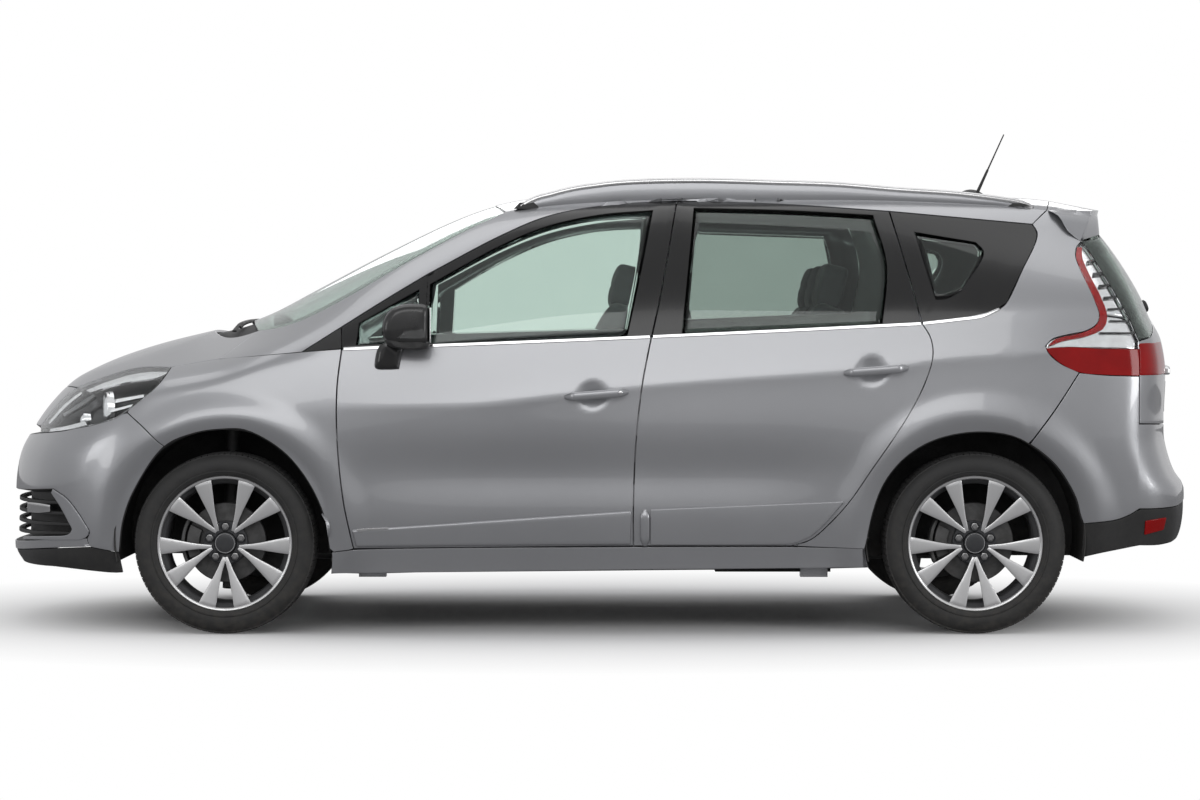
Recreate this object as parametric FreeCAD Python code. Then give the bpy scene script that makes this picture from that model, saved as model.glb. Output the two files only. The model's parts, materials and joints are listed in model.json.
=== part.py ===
import FreeCAD, Part
import math
import os

# Compact seven-seat minivan, in millimetres.
# +Z is up, the front faces -X and the car's left side is -Y.
# The origin is on the ground, in the middle of the body's length and width.

V = FreeCAD.Vector

# Driving dimensions of the whole car
body_length = 4570.0
body_width = 1844.0
body_height = 1662.0
wheelbase = 2770.0
front_axle_x = -1375.0
track = 1536.0
hub_height = 336.0
half_length = body_length / 2
half_width = body_width / 2

# Walls and gaps
skin_depth = 26.0
rabbet_depth = 31.0
end_wall = 40.0
shut_gap = 5.0
seal_clearance = 0.3
seal_width = 7.0
lower_wall = 120.0
upper_wall = 52.0
roof_wall = 30.0
flange_reach = 26.0
aperture_clearance = 6.0
glass_thickness = 5.0
glass_setback = 4.0
lamp_depth = 70.0
seat_clearance = 0.3
overrun = 400.0
mitre_limit_share = 0.4

# Tyres, rims and brake discs
tyre_width = 215.0
tyre_radius = hub_height
tyre_shoulder_drop = 26.0
tyre_sides = 72
rim_seat_radius = 228.6
rim_width = 190.0
rim_wall = 6.0
flange_height = 16.0
flange_width = 8.0
bead_clearance = 0.3
spoke_pairs = 5
spoke_start_angle = 54.0
spoke_half_angle = 16.5
spoke_root_half_angle = 7.0
spoke_thickness = 26.0
spoke_root_width = 26.0
spoke_tip_width = 50.0
hub_radius = 72.0
hub_bore_radius = 30.0
axle_clearance = 0.05
disc_radius = 148.0
disc_thickness = 24.0
disc_offset = -10.0
wheel_face_offset = 62.0

# Wheel arches
arch_radius = 402.0
arch_lift = 18.0
front_well_inner_y = 452.0
rear_well_inner_y = 560.0
liner_wall = 5.0
liner_foot = 270.0

# Floor
floor_height = 300.0
floor_thickness = 26.0
floor_half_width = 770.0
sill_height = 430.0
rear_floor_x = 930.0
rear_floor_height = 450.0
rear_panel_x = 2060.0
rear_panel_half_width = 620.0
firewall_x = -1130.0
firewall_thickness = 30.0
firewall_half_width = 769.0
tunnel_half_width = 110.0
tunnel_height = 110.0
tunnel_wall = 20.0
front_pad_x = -830.0
rear_pad_x = 800.0
pad_y = 830.0
pad_half_length = 50.0
pad_half_width = 30.0
pad_height = 212.0

# Front structure and engine
rail_beam_width = 60.0
rail_beam_height = 100.0
chassis_rail_y = 380.0
chassis_rail_height = 420.0
crash_beam_x = -2075.0
crash_half_width = 440.0
slam_panel_depth = 40.0
slam_half_width = 400.0
stop_radius = 14.0
stop_y = 300.0
tower_half_length = 60.0
tower_outer_y = 600.0
tower_height = 835.0
engine_drop = 70.0
engine_half_length = 205.0
engine_half_width = 310.0
engine_forward = 45.0
subframe_height = 60.0
subframe_half_length = 60.0
subframe_half_width = 380.0
subframe_reach = 190.0
arm_radius = 16.0

# Exhaust and tank
exhaust_y = 60.0
exhaust_height = 240.0
exhaust_radius = 28.0
exhaust_bend_x = 1500.0
muffler_x = 1750.0
muffler_length = 280.0
muffler_height = 345.0
muffler_radius = 80.0
hanger_x = 0.0
hanger_half_width = 12.0
tank_x = 450.0
tank_length = 440.0
tank_outer_y = 460.0
tank_height = 100.0

# Knuckles, struts and the rear axle
ball_joint_y = 715.0
ball_socket_drop = 26.0
ball_joint_height = 200.0
strut_top_y = 575.0
strut_top_height = 800.0
strut_radius = 28.0
strut_hole_radius = 40.0
strut_foot_y = 645.0
beam_hole_radius = 38.0
stud_length = 20.0
stud_radius = 12.0
knuckle_y = 640.0
knuckle_width = 95.0
knuckle_half_length = 50.0
knuckle_half_height = 100.0
hub_face_offset = 30.0
axle_reach = 40.0
trailing_arm_y = 480.0

# Roof rails, aerial and wipers
rail_thickness = 26.0
rail_height = 76.0
rail_steps = 10
aerial_foot_radius = 32.0
aerial_foot_height = 22.0
aerial_tip_radius = 3.5
aerial_cone_radius = 10.5
aerial_cone_height = 33.0
aerial_top_height = 1898.0
wiper_radius = 8.0

# Cabin fittings
driver_y = 370.0
steering_radius = 185.0
steering_tube_radius = 15.0
steering_sides = 6
steering_hub_radius = 45.0
steering_hub_depth = 45.0
column_length = 300.0
column_radius = 30.0
dash_reach = 330.0
dash_top_reach = 231.0
dash_foot_reach = 264.0
dash_half_width = 735.0
seat_width = 500.0
cushion_length = 480.0
cushion_height = 260.0
cushion_rear_height = 221.0
back_height = 840.0
back_depth = 150.0
back_top_depth = 90.0
head_height = 210.0
head_width = 270.0
front_seat_x = -70.0
middle_seat_x = 712.0
middle_seat_width = 430.0
middle_seat_pitch = 450.0

# Mirrors
mirror_inner_y = 912.0
mirror_outer_y = 1025.0
mirror_foot_inner_y = 840.0
mirror_taper = 12.0

rear_axle_x = front_axle_x + wheelbase
half_track = track / 2


def along(share):
    """Place along the car for a share of half its length."""
    return share * half_length


def up(share):
    """Height for a share of the body's height."""
    return share * body_height


def out(share):
    """Distance from the middle for a share of half the width."""
    return share * half_width


def smooth(table, x):
    """Value at x of a smooth curve through the table's pairs, which never overshoots."""
    n = len(table)
    if x <= table[0][0]:
        return table[0][1]
    if x >= table[-1][0]:
        return table[-1][1]
    slopes = [(table[i + 1][1] - table[i][1]) / (table[i + 1][0] - table[i][0]) for i in range(n - 1)]
    tangents = [slopes[0]]
    for i in range(1, n - 1):
        a, b = slopes[i - 1], slopes[i]
        tangents.append(0.0 if a * b <= 0 else 2 * a * b / (a + b))
    tangents.append(slopes[-1])
    i = max(k for k in range(n - 1) if table[k][0] <= x)
    width = table[i + 1][0] - table[i][0]
    t = (x - table[i][0]) / width
    return ((2 * t ** 3 - 3 * t ** 2 + 1) * table[i][1] + (t ** 3 - 2 * t ** 2 + t) * width * tangents[i]
            + (3 * t ** 2 - 2 * t ** 3) * table[i + 1][1] + (t ** 3 - t ** 2) * width * tangents[i + 1])


# Lines that run the length of the body, each as pairs of shares:
# the place along the car, then a height or a width there.
station_shares = [-1.03, -0.95, -0.87, -0.78, -0.69, -0.62, -0.53, -0.42, -0.29, -0.16, -0.04, 0.16, 0.52,
                  0.75, 0.88, 1.03]
top_line_shares = [(-1.03, 0.47), (-0.912, 0.548), (-0.884, 0.570), (-0.832, 0.606), (-0.78, 0.632),
                   (-0.728, 0.653), (-0.676, 0.670), (-0.624, 0.687), (-0.60, 0.695), (-0.55, 0.722),
                   (-0.498, 0.761), (-0.446, 0.799), (-0.394, 0.837), (-0.342, 0.873), (-0.29, 0.908),
                   (-0.238, 0.940), (-0.186, 0.966), (-0.131, 0.983), (-0.044, 0.995), (0.0875, 1.0),
                   (0.306, 0.9995), (0.525, 0.996), (0.725, 0.9875), (0.803, 0.975), (0.86, 0.9615),
                   (1.03, 0.925)]
split_height_shares = [(-1.03, 0.42), (-0.93, 0.505), (-0.861, 0.548), (-0.78, 0.576), (-0.697, 0.595),
                       (-0.619, 0.613), (-0.53, 0.655), (-0.445, 0.716), (-0.289, 0.850), (-0.152, 0.938),
                       (-0.05, 0.962), (0.1, 0.973), (0.4, 0.974), (0.65, 0.964), (0.8, 0.947), (1.03, 0.90)]
split_width_shares = [(-1.03, 0.66), (-0.93, 0.70), (-0.861, 0.725), (-0.78, 0.755), (-0.697, 0.78),
                      (-0.619, 0.79), (-0.53, 0.80), (-0.445, 0.79), (-0.289, 0.715), (-0.152, 0.65),
                      (-0.05, 0.625), (0.1, 0.615), (0.6, 0.615), (0.8, 0.615), (1.03, 0.62)]
crest_height_shares = [(-1.03, 0.39), (-0.93, 0.485), (-0.861, 0.522), (-0.78, 0.553), (-0.697, 0.576),
                       (-0.619, 0.598), (-0.53, 0.628), (-0.445, 0.668), (-0.289, 0.795), (-0.157, 0.893),
                       (-0.082, 0.933), (0.012, 0.952), (0.13, 0.957), (0.48, 0.947), (0.714, 0.920),
                       (0.8, 0.905), (1.03, 0.86)]
crest_width_shares = [(-1.03, 0.86), (-0.861, 0.885), (-0.697, 0.90), (-0.53, 0.915), (-0.445, 0.905),
                      (-0.289, 0.82), (-0.157, 0.75), (-0.082, 0.715), (0.012, 0.70), (0.48, 0.695),
                      (0.714, 0.685), (0.8, 0.685), (1.03, 0.70)]
belt_height_shares = [(-1.03, 0.36), (-0.93, 0.45), (-0.861, 0.485), (-0.78, 0.515), (-0.697, 0.540),
                      (-0.619, 0.562), (-0.53, 0.592), (-0.41, 0.630), (0.084, 0.660), (0.522, 0.690),
                      (0.8, 0.712), (1.03, 0.72)]
plan_width_shares = [(-1.03, 0.70), (-0.95, 0.845), (-0.87, 0.925), (-0.78, 0.965), (-0.69, 0.98),
                     (-0.57, 0.988), (-0.33, 0.995), (0.16, 1.0), (0.52, 1.0), (0.68, 0.995), (0.80, 0.975),
                     (0.88, 0.945), (0.95, 0.90), (1.03, 0.83)]
bottom_line_shares = [(-1.03, 0.150), (-0.9, 0.138), (-0.785, 0.125), (-0.43, 0.134), (0.43, 0.147),
                      (0.785, 0.168), (0.93, 0.200), (1.03, 0.22)]
wide_height_share = 0.43
belt_width_share = 0.957
low_width_share = 0.988
bottom_width_share = 0.955
wide_limit_share = 0.83
crest_inset_share = 0.5
belt_inset_share = 0.25
split_inset_share = 0.33
crown_power = 2.3
crown_width_shares = [1.0, 0.68, 0.34, 0.0]


def section(share, side_inset, upper_inset, top_inset, bottom_height=None):
    """Closed section wire of the body at one station, moved inwards by the insets."""
    x = along(share)
    wide = out(smooth(plan_width_shares, share))
    split_y = out(smooth(split_width_shares, share)) * wide / half_width
    split_z = up(smooth(split_height_shares, share)) - top_inset
    crest_y = wide * smooth(crest_width_shares, share) - upper_inset
    crest_z = up(smooth(crest_height_shares, share)) - top_inset * crest_inset_share
    belt_y = wide * belt_width_share - (side_inset + upper_inset) / 2
    belt_z = up(smooth(belt_height_shares, share)) - top_inset * belt_inset_share
    split_y = min(split_y, crest_y - upper_inset * split_inset_share)
    if bottom_height is None:
        bottom_height = up(smooth(bottom_line_shares, share))
    top_z = up(smooth(top_line_shares, share)) - top_inset
    wide_z = min(up(wide_height_share), belt_z * wide_limit_share)
    low_z = bottom_height + (wide_z - bottom_height) / 2
    side = [V(x, wide * bottom_width_share - side_inset, bottom_height),
            V(x, wide * low_width_share - side_inset, low_z),
            V(x, wide - side_inset, wide_z),
            V(x, belt_y, belt_z),
            V(x, crest_y, crest_z),
            V(x, split_y, split_z)]
    drop = top_z - split_z
    crown = []
    for fraction in crown_width_shares:
        crown.append(V(x, split_y * fraction, top_z - drop * fraction ** crown_power))
    top = crown + [V(p.x, -p.y, p.z) for p in reversed(crown[:-1])]
    other = [V(p.x, -p.y, p.z) for p in reversed(side)]
    return Part.makePolygon(side + top[1:-1] + other + [side[0]])


def body_loft(side_inset, upper_inset, top_inset, first, last, bottom_height=None):
    """Solid through the body's sections between two stations."""
    shares = [first] + [s for s in station_shares if first < s < last] + [last]
    wires = [section(s, side_inset, upper_inset, top_inset, bottom_height) for s in shares]
    return Part.makeLoft(wires, True, True)


nose_line_shares = [(-0.983, 0.0), (-0.983, 0.127), (-1.0, 0.165), (-0.998, 0.32), (-0.99, 0.39),
                    (-0.969, 0.445), (-0.944, 0.496), (-0.895, 0.575), (-0.86, 0.66), (-0.86, 1.1)]
tail_line_shares = [(0.93, 0.0), (0.937, 0.151), (0.977, 0.174), (0.996, 0.222), (1.0, 0.317), (0.985, 0.345),
                    (0.966, 0.437), (0.969, 0.58), (0.962, 0.651), (0.928, 0.7515), (0.848, 0.915),
                    (0.858, 0.927), (0.866, 0.957), (0.866, 1.1)]
nose_plan_radius = 1350.0
tail_plan_radius = 2300.0
end_width_shares = [-1.3, -0.9, -0.62, -0.32, 0.0, 0.32, 0.62, 0.9, 1.3]


def end_volume(profile_shares, plan_radius, facing, inset):
    """Everything on the car's side of an end's profile, which steps back along a round plan line."""
    profile = [V(along(x) - facing * inset, 0, up(z)) for x, z in profile_shares]
    back = [V(-facing * body_length, 0, profile[-1].z), V(-facing * body_length, 0, 0)]
    rows = []
    for share in end_width_shares:
        y = out(share)
        step = facing * (plan_radius - math.sqrt(plan_radius ** 2 - y ** 2))
        rows.append([p + V(-step, y, 0) for p in profile] + [p + V(0, y, 0) for p in back])
    faces = [Part.Face(Part.makePolygon(row + [row[0]])) for row in (rows[0], rows[-1])]
    for near, far in zip(rows, rows[1:]):
        for i in range(len(near)):
            faces.append(Part.Face(Part.makePolygon([near[i - 1], near[i], far[i], far[i - 1], near[i - 1]])))
    return Part.Solid(Part.Shell(faces))


def nose_volume(inset):
    return end_volume(nose_line_shares, nose_plan_radius, -1, inset)


def tail_volume(inset):
    return end_volume(tail_line_shares, tail_plan_radius, 1, inset)


def crown_height(share, y):
    """Height of the roof, screen or bonnet at a place."""
    split_y = out(smooth(split_width_shares, share)) * smooth(plan_width_shares, share)
    split_z = up(smooth(split_height_shares, share))
    top_z = up(smooth(top_line_shares, share))
    return top_z - (top_z - split_z) * (abs(y) / split_y) ** crown_power


def side_place(x_share, z_share):
    """Point of a side-view outline, on the car's middle plane."""
    return V(along(x_share), 0, up(z_share))


def plan_place(x_share, y_share):
    """Point of a plan-view outline, at ground level."""
    return V(along(x_share), out(y_share), 0)


def rear_place(y_share, z_share):
    """Point of a front-view or rear-view outline."""
    return V(0, out(y_share), up(z_share))


def outline_face(items, place, growth=0.0):
    """Face inside an outline, where a list between two points is a smooth curve's inner points.

    The edge is moved outwards by the growth, or inwards by a negative one.
    """
    points = []
    inner = []
    for item in items:
        for point in item if isinstance(item, list) else [item]:
            points.append(place(*point))
            inner.append(isinstance(item, list))
    count = len(points)
    area = V(0, 0, 0)
    for i in range(count):
        area += points[i].cross(points[(i + 1) % count])
    axis = area.normalize()
    moved = []
    for i in range(count):
        before = (points[i] - points[i - 1]).normalize().cross(axis)
        after = (points[(i + 1) % count] - points[i]).normalize().cross(axis)
        mitre = (before + after).normalize()
        moved.append(points[i] + mitre * (growth / max(mitre.dot(before), mitre_limit_share)))
    edges = []
    run = [moved[0]]
    for i in range(1, count + 1):
        run.append(moved[i % count])
        if i < count and inner[i]:
            continue
        if len(run) > 2:
            curve = Part.BSplineCurve()
            curve.interpolate(run)
            edges.append(curve.toShape())
        else:
            edges.append(Part.makeLine(run[0], run[1]))
        run = [moved[i % count]]
    return Part.Face(Part.Wire(edges))


def mirrored(items):
    """Whole plan outline from its half on one side, listed from the front to the rear."""
    other = []
    for item in reversed(items):
        if isinstance(item, list):
            other.append([(x, -y) for x, y in reversed(item)])
        elif item[1]:
            other.append((item[0], -item[1]))
    return list(items) + other


def side_face(items, growth=0.0):
    return outline_face(items, side_place, growth)


def plan_face(items, growth=0.0):
    return outline_face(items, plan_place, growth)


def rear_face(items, growth=0.0):
    return outline_face(items, rear_place, growth)


def side_prism(face, near_y, far_y):
    """Solid that a side-view face sweeps between two distances from the middle."""
    return face.translated(V(0, near_y, 0)).extrude(V(0, far_y - near_y, 0))


def plan_prism(face, low_z, high_z):
    return face.translated(V(0, 0, low_z)).extrude(V(0, 0, high_z - low_z))


def long_prism(face, low_x, high_x):
    return face.translated(V(low_x, 0, 0)).extrude(V(high_x - low_x, 0, 0))


def other_side(shape):
    """Mirror image on the other side of the car."""
    return shape.mirror(V(0, 0, 0), V(0, 1, 0))


def box(x0, x1, y0, y1, z0, z1):
    return Part.makeBox(x1 - x0, y1 - y0, z1 - z0, V(x0, y0, z0))


def cross_cylinder(x, z, radius, y0, y1):
    return Part.makeCylinder(radius, y1 - y0, V(x, y0, z), V(0, 1, 0))


def rod(a, b, radius):
    """Round bar from one point to another."""
    return Part.makeCylinder(radius, (b - a).Length, a, b - a)


def joined(shapes):
    """One solid out of shapes that overlap."""
    whole = shapes[0].fuse(shapes[1:]) if len(shapes) > 1 else shapes[0]
    return whole.removeSplitter()


# Outlines, in shares of half the length and of the height
front_door_outline = [(-0.394, 0.189), [(-0.410, 0.289), (-0.421, 0.40), (-0.4225, 0.49), (-0.421, 0.556)],
                      (-0.413, 0.640), (-0.399, 0.700), [(-0.278, 0.802), (-0.157, 0.890), (-0.082, 0.930),
                      (0.012, 0.951)], (0.130, 0.957), [(0.101, 0.727), (0.091, 0.663), (0.073, 0.556),
                      (0.063, 0.425), (0.0595, 0.289)], (0.059, 0.194)]
rear_door_outline = [(0.059, 0.194), [(0.0595, 0.289), (0.063, 0.425), (0.073, 0.556), (0.091, 0.663),
                     (0.101, 0.727)], (0.130, 0.957), [(0.30, 0.955)], (0.479, 0.945), [(0.497, 0.848),
                     (0.519, 0.743)], (0.531, 0.690), [(0.542, 0.640), (0.530, 0.558), (0.500, 0.478),
                     (0.442, 0.361), (0.408, 0.294), (0.374, 0.243), (0.345, 0.209)], (0.314, 0.196)]
front_window_outline = [(-0.268, 0.668), (-0.262, 0.780), [(-0.157, 0.862), (-0.082, 0.905), (0.012, 0.928)],
                        (0.082, 0.932), (0.046, 0.680)]
front_pane_outline = [(-0.372, 0.660), (-0.292, 0.667), (-0.287, 0.755)]
rear_window_outline = [(0.145, 0.700), (0.161, 0.922), (0.412, 0.909), [(0.428, 0.822)], (0.415, 0.716)]
quarter_outline = [(0.531, 0.700), (0.492, 0.930), (0.705, 0.905), [(0.718, 0.885), (0.693, 0.806),
                   (0.668, 0.750)], (0.631, 0.715)]
quarter_clear_outline = [(0.553, 0.745), (0.519, 0.896), (0.610, 0.875), [(0.628, 0.858), (0.593, 0.763)],
                         (0.575, 0.748)]
lamp_outline = [(-0.696, 0.595), [(-0.749, 0.590), (-0.80, 0.573)], (-0.850, 0.547), [(-0.885, 0.508)],
                (-0.909, 0.460), (-0.909, 0.445), [(-0.875, 0.449), (-0.824, 0.463)], (-0.787, 0.478),
                [(-0.760, 0.502), (-0.738, 0.525), (-0.712, 0.561)]]
wing_outline = [(-0.430, 0.183), (-0.399, 0.183), [(-0.410, 0.289), (-0.421, 0.40), (-0.4225, 0.49),
                (-0.421, 0.556)], (-0.413, 0.640), (-0.484, 0.628), (-0.545, 0.690), (-0.70, 0.690),
                (-0.90, 0.60), (-0.787, 0.478), (-0.761, 0.489), (-0.699, 0.418), (-0.60, 0.183)]
front_bumper_outline = [(-1.2, 0.0), (-0.787, 0.0), (-0.699, 0.30), (-0.699, 0.418), (-0.761, 0.489),
                        (-0.787, 0.478), (-0.90, 0.60), (-1.2, 0.60)]
tailgate_outline = [(0.757, 1.1), (0.757, 0.961), [(0.773, 0.940), (0.786, 0.900)], (0.802, 0.868),
                    [(0.832, 0.798), (0.871, 0.705)], (0.885, 0.662), (0.888, 0.572), (0.888, 0.468),
                    (1.2, 0.468), (1.2, 1.1)]
tail_lamp_outline = [(0.790, 0.872), [(0.783, 0.843), (0.792, 0.811), (0.814, 0.750)], (0.823, 0.705),
                     [(0.802, 0.675)], (0.746, 0.656), [(0.733, 0.640)], (0.758, 0.601), [(0.790, 0.582)],
                     (0.840, 0.574), (1.0, 0.574), (1.0, 0.660), (0.885, 0.662), [(0.871, 0.705),
                     (0.832, 0.798)], (0.802, 0.868)]
rear_bumper_outline = [(0.700, 0.422), (0.781, 0.581), (0.840, 0.574), (0.888, 0.572), (0.888, 0.468),
                       (1.2, 0.468), (1.2, 0.315), (0.940, 0.315), [(0.896, 0.291), (0.866, 0.266),
                       (0.841, 0.253)], (0.789, 0.246), (0.70, 0.246)]
valance_outline = [(0.70, 0.246), (0.789, 0.246), [(0.841, 0.253), (0.866, 0.266), (0.896, 0.291)],
                   (0.940, 0.315), (1.2, 0.315), (1.2, 0.0), (0.70, 0.0)]
body_side_outline = [(-0.430, 0.10), (-0.430, 0.181), (-0.480, 0.30), (-0.500, 0.62), (-0.560, 0.672),
                     (-0.560, 1.1), (0.757, 1.1), (0.757, 0.961), [(0.773, 0.940), (0.786, 0.900)],
                     (0.802, 0.868), [(0.832, 0.798), (0.871, 0.705)], (0.885, 0.662), (0.888, 0.572),
                     (0.781, 0.581), (0.700, 0.422), (0.700, 0.10)]

# Plan outlines, in shares of half the length and of half the width
bonnet_half_plan = [(-0.912, 0.0), [(-0.905, 0.25), (-0.890, 0.46)], (-0.855, 0.635), [(-0.78, 0.705),
                    (-0.697, 0.745)], (-0.619, 0.765), [(-0.612, 0.40)], (-0.610, 0.0)]
windscreen_half_plan = [(-0.600, 0.0), [(-0.592, 0.30), (-0.574, 0.58)], (-0.545, 0.775), [(-0.445, 0.770),
                        (-0.289, 0.695)], (-0.155, 0.628), [(-0.172, 0.30)], (-0.178, 0.0)]
roof_half_plan = [(-0.176, 0.0), [(-0.170, 0.30)], (-0.152, 0.626), [(-0.05, 0.603), (0.1, 0.593),
                  (0.6, 0.592)], (0.757, 0.590), (0.757, 0.0)]
cowl_half_plan = [(-0.607, 0.0), [(-0.609, 0.40)], (-0.616, 0.765), (-0.560, 0.775), (-0.547, 0.770),
                  [(-0.577, 0.58), (-0.595, 0.30)], (-0.603, 0.0)]

# Front-view and rear-view outlines, in shares of half the width and of the height
intake_outline = [(-0.52, 0.185), (0.52, 0.185), (0.58, 0.255), (0.50, 0.305), (-0.50, 0.305), (-0.58, 0.255)]
upper_grille_outline = [(-0.46, 0.425), (0.46, 0.425), (0.50, 0.452), (-0.50, 0.452)]
rear_glass_outline = [(-0.60, 0.72), (0.60, 0.72), (0.60, 0.80), (0.52, 0.895), (-0.52, 0.895), (-0.60, 0.80)]
gate_lamp_outline = [(-0.86, 0.574), (-0.56, 0.574), (-0.60, 0.640), (-0.80, 0.662), (-0.90, 0.662),
                     (-0.90, 0.574)]

# Mirror outlines, in shares of half the length and of the height
mirror_outline = [(-0.345, 0.655), (-0.340, 0.715), (-0.318, 0.735), (-0.275, 0.735), (-0.268, 0.700),
                  (-0.275, 0.650), (-0.310, 0.641)]
mirror_foot_outline = [(-0.359, 0.600), (-0.350, 0.648), (-0.313, 0.652), (-0.320, 0.588)]

# Other places, in shares of half the length, half the width or the height
cabin_front_share = -0.57
cabin_rear_share = 0.97
inner_side_share = 0.40
side_inner_share = 0.55
plan_low_share = 0.50
bonnet_low_share = 0.40
lamp_inner_share = 0.52
front_lamp_inner_share = 0.45
grille_back_share = -0.80
grille_pitch = 30.0
grille_slot_share = 0.44
slot_start_share = 0.30
gate_front_share = 0.70
rear_panel_share = 0.44
firewall_share = 0.60
slam_panel_share = -0.875
slam_panel_top_share = 0.50
engine_top_share = 0.50
rail_y_share = 0.595
rail_front_share = -0.13
rail_rear_share = 0.72
rail_rise_share = 0.8
aerial_share = 0.626
aerial_top_share = 0.705
wiper_pivot_share = -0.607
wiper_tip_share = -0.588
wiper_reach_shares = [(-0.62, -0.02), (0.05, 0.60)]
steering_place_share = -0.27
steering_height_share = 0.60
steering_axis_share = (0.88, 0.0, 0.475)
dash_foot_share = 0.42
dash_lip_share = 0.56
dash_top_share = 0.60
seat_lean_share = 0.2
lamp_inner_y = -out(lamp_inner_share)
front_lamp_inner_y = -out(front_lamp_inner_share)

parts = {}


def put(name, shapes):
    """Keep the solids of one node."""
    solids = []
    for shape in shapes:
        solids.extend(shape.Solids)
    parts[name] = Part.makeCompound(solids)


def pair(shapes):
    """The given shapes and their mirror images."""
    return [s for shape in shapes for s in (shape, other_side(shape))]


# Body volumes, one inside the other
front_end = station_shares[0]
rear_end = station_shares[-1]
volumes = {}


def body_volume(inset):
    """The body's outer form, moved inwards on every side."""
    if inset not in volumes:
        volume = body_loft(inset, inset, inset, front_end, rear_end)
        volumes[inset] = volume.common(nose_volume(inset)).common(tail_volume(inset))
    return volumes[inset]


outer = body_volume(0.0)
glass_outer = body_volume(glass_setback)
glass_inner = body_volume(glass_setback + glass_thickness)
glass_bed = body_volume(glass_setback + glass_thickness + seat_clearance)
under_skin = body_volume(skin_depth)
skin_bed = body_volume(skin_depth + seal_clearance)
under_seal = body_volume(rabbet_depth)
under_wall = body_volume(end_wall)
under_lamp = body_volume(lamp_depth)
lamp_bed = body_volume(lamp_depth + seat_clearance)
cabin_floor = floor_height + floor_thickness
cabin = body_loft(lower_wall, upper_wall, roof_wall, cabin_front_share, cabin_rear_share, cabin_floor)
cabin = cabin.common(tail_volume(lower_wall))
shell = outer.cut(cabin)

# Wheel arches and their liners
arch_height = hub_height + arch_lift
axle_places = {"front": front_axle_x, "rear": rear_axle_x}
well_inner = {"front": front_well_inner_y, "rear": rear_well_inner_y}
liner_outer_y = half_width - 2 * skin_depth
side_far = half_width + overrun
arches = []
liners = {}
for end, x in axle_places.items():
    inner_y = -well_inner[end]
    opening = cross_cylinder(x, arch_height, arch_radius, -side_far, inner_y)
    room = cross_cylinder(x, arch_height, arch_radius + liner_wall + seat_clearance,
                          -liner_outer_y - seat_clearance, inner_y + liner_wall + seat_clearance)
    arches.append(opening.fuse(room))
    liner = cross_cylinder(x, arch_height, arch_radius + liner_wall, -liner_outer_y, inner_y + liner_wall)
    liner = liner.cut(cross_cylinder(x, arch_height, arch_radius, -half_width, inner_y))
    liners[end] = liner.common(box(x - half_length, x + half_length, -half_width, 0, liner_foot, body_height))
kingpin_low = V(front_axle_x, -ball_joint_y, ball_joint_height)
kingpin_top = V(front_axle_x, -strut_top_y, strut_top_height)
kingpin = (kingpin_top - kingpin_low).normalize()
liners["front"] = liners["front"].cut(rod(kingpin_low, kingpin_top, strut_hole_radius))
liners["rear"] = liners["rear"].cut(cross_cylinder(rear_axle_x, hub_height, beam_hole_radius, -half_width, 0))
arch_four = pair(arches)

left_far = -side_far
roof_plan = mirrored(roof_half_plan)
windscreen_plan = mirrored(windscreen_half_plan)
bonnet_plan = mirrored(bonnet_half_plan)
cowl_plan = mirrored(cowl_half_plan)
plan_low = up(plan_low_share)
plan_high = body_height + overrun
inner_side_y = -out(inner_side_share)
roof_room = plan_prism(plan_face(roof_plan, seat_clearance), plan_low, plan_high)
windscreen_room = plan_prism(plan_face(windscreen_plan, seat_clearance), plan_low, plan_high)
bonnet_room = plan_prism(plan_face(bonnet_plan), up(bonnet_low_share), plan_high)
cowl_room = plan_prism(plan_face(cowl_plan), plan_low, plan_high)
gate_room = side_prism(side_face(tailgate_outline, shut_gap / 2), -side_far, side_far)


def skin_panel(volume_outer, volume_inner, prism):
    """Wall between two body volumes, inside a prism."""
    return prism.common(volume_outer).cut(volume_inner)


# Doors: a thin skin with a flange all round, on a thick inner box
door_outlines = {"front": front_door_outline, "rear": rear_door_outline}
window_outlines = {"front": [front_window_outline, front_pane_outline], "rear": [rear_window_outline]}
for end, outline in door_outlines.items():
    door_zone = side_prism(side_face(outline, -shut_gap / 2), left_far, inner_side_y)
    skin = skin_panel(outer, under_skin, door_zone)
    inner = side_prism(side_face(outline, -flange_reach - aperture_clearance), left_far, inner_side_y)
    openings = [side_prism(side_face(o), left_far, inner_side_y) for o in window_outlines[end]]
    door = skin.fuse(inner.common(under_skin).cut(cabin)).cut(openings).removeSplitter()
    panes = []
    for opening in window_outlines[end]:
        pane = side_prism(side_face(opening, -seat_clearance), left_far, inner_side_y)
        panes.append(pane.common(glass_outer).cut(glass_inner))
    put("door_" + end + "_left", [door])
    put("door_" + end + "_right", [other_side(door)])
    put("door_glass_" + end + "_left", panes)
    put("door_glass_" + end + "_right", [other_side(pane) for pane in panes])

# Body sides: pillars, cant rail, quarter panel and sill
body_side = shell.common(side_prism(side_face(body_side_outline), left_far, -out(side_inner_share)))
zones = []
for outline in door_outlines.values():
    zones.append(side_prism(side_face(outline, shut_gap / 2), left_far, inner_side_y).cut(under_seal))
    zones.append(side_prism(side_face(outline, -flange_reach), left_far, inner_side_y))
zones.append(side_prism(side_face(wing_outline), left_far, inner_side_y).cut(skin_bed))
zones.append(side_prism(side_face(quarter_outline), left_far, inner_side_y).common(outer).cut(glass_bed))
zones.append(side_prism(side_face(quarter_clear_outline), left_far, inner_side_y))
zones.append(side_prism(side_face(tail_lamp_outline), left_far, lamp_inner_y).cut(lamp_bed))
zones.append(box(-body_length, body_length, -floor_half_width, 0, 0, sill_height))
for zone in zones + [roof_room, windscreen_room, gate_room] + arches:
    body_side = body_side.cut(zone)
gate_line = side_prism(side_face(tailgate_outline, seal_clearance - shut_gap / 2), -side_far, side_far)
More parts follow.
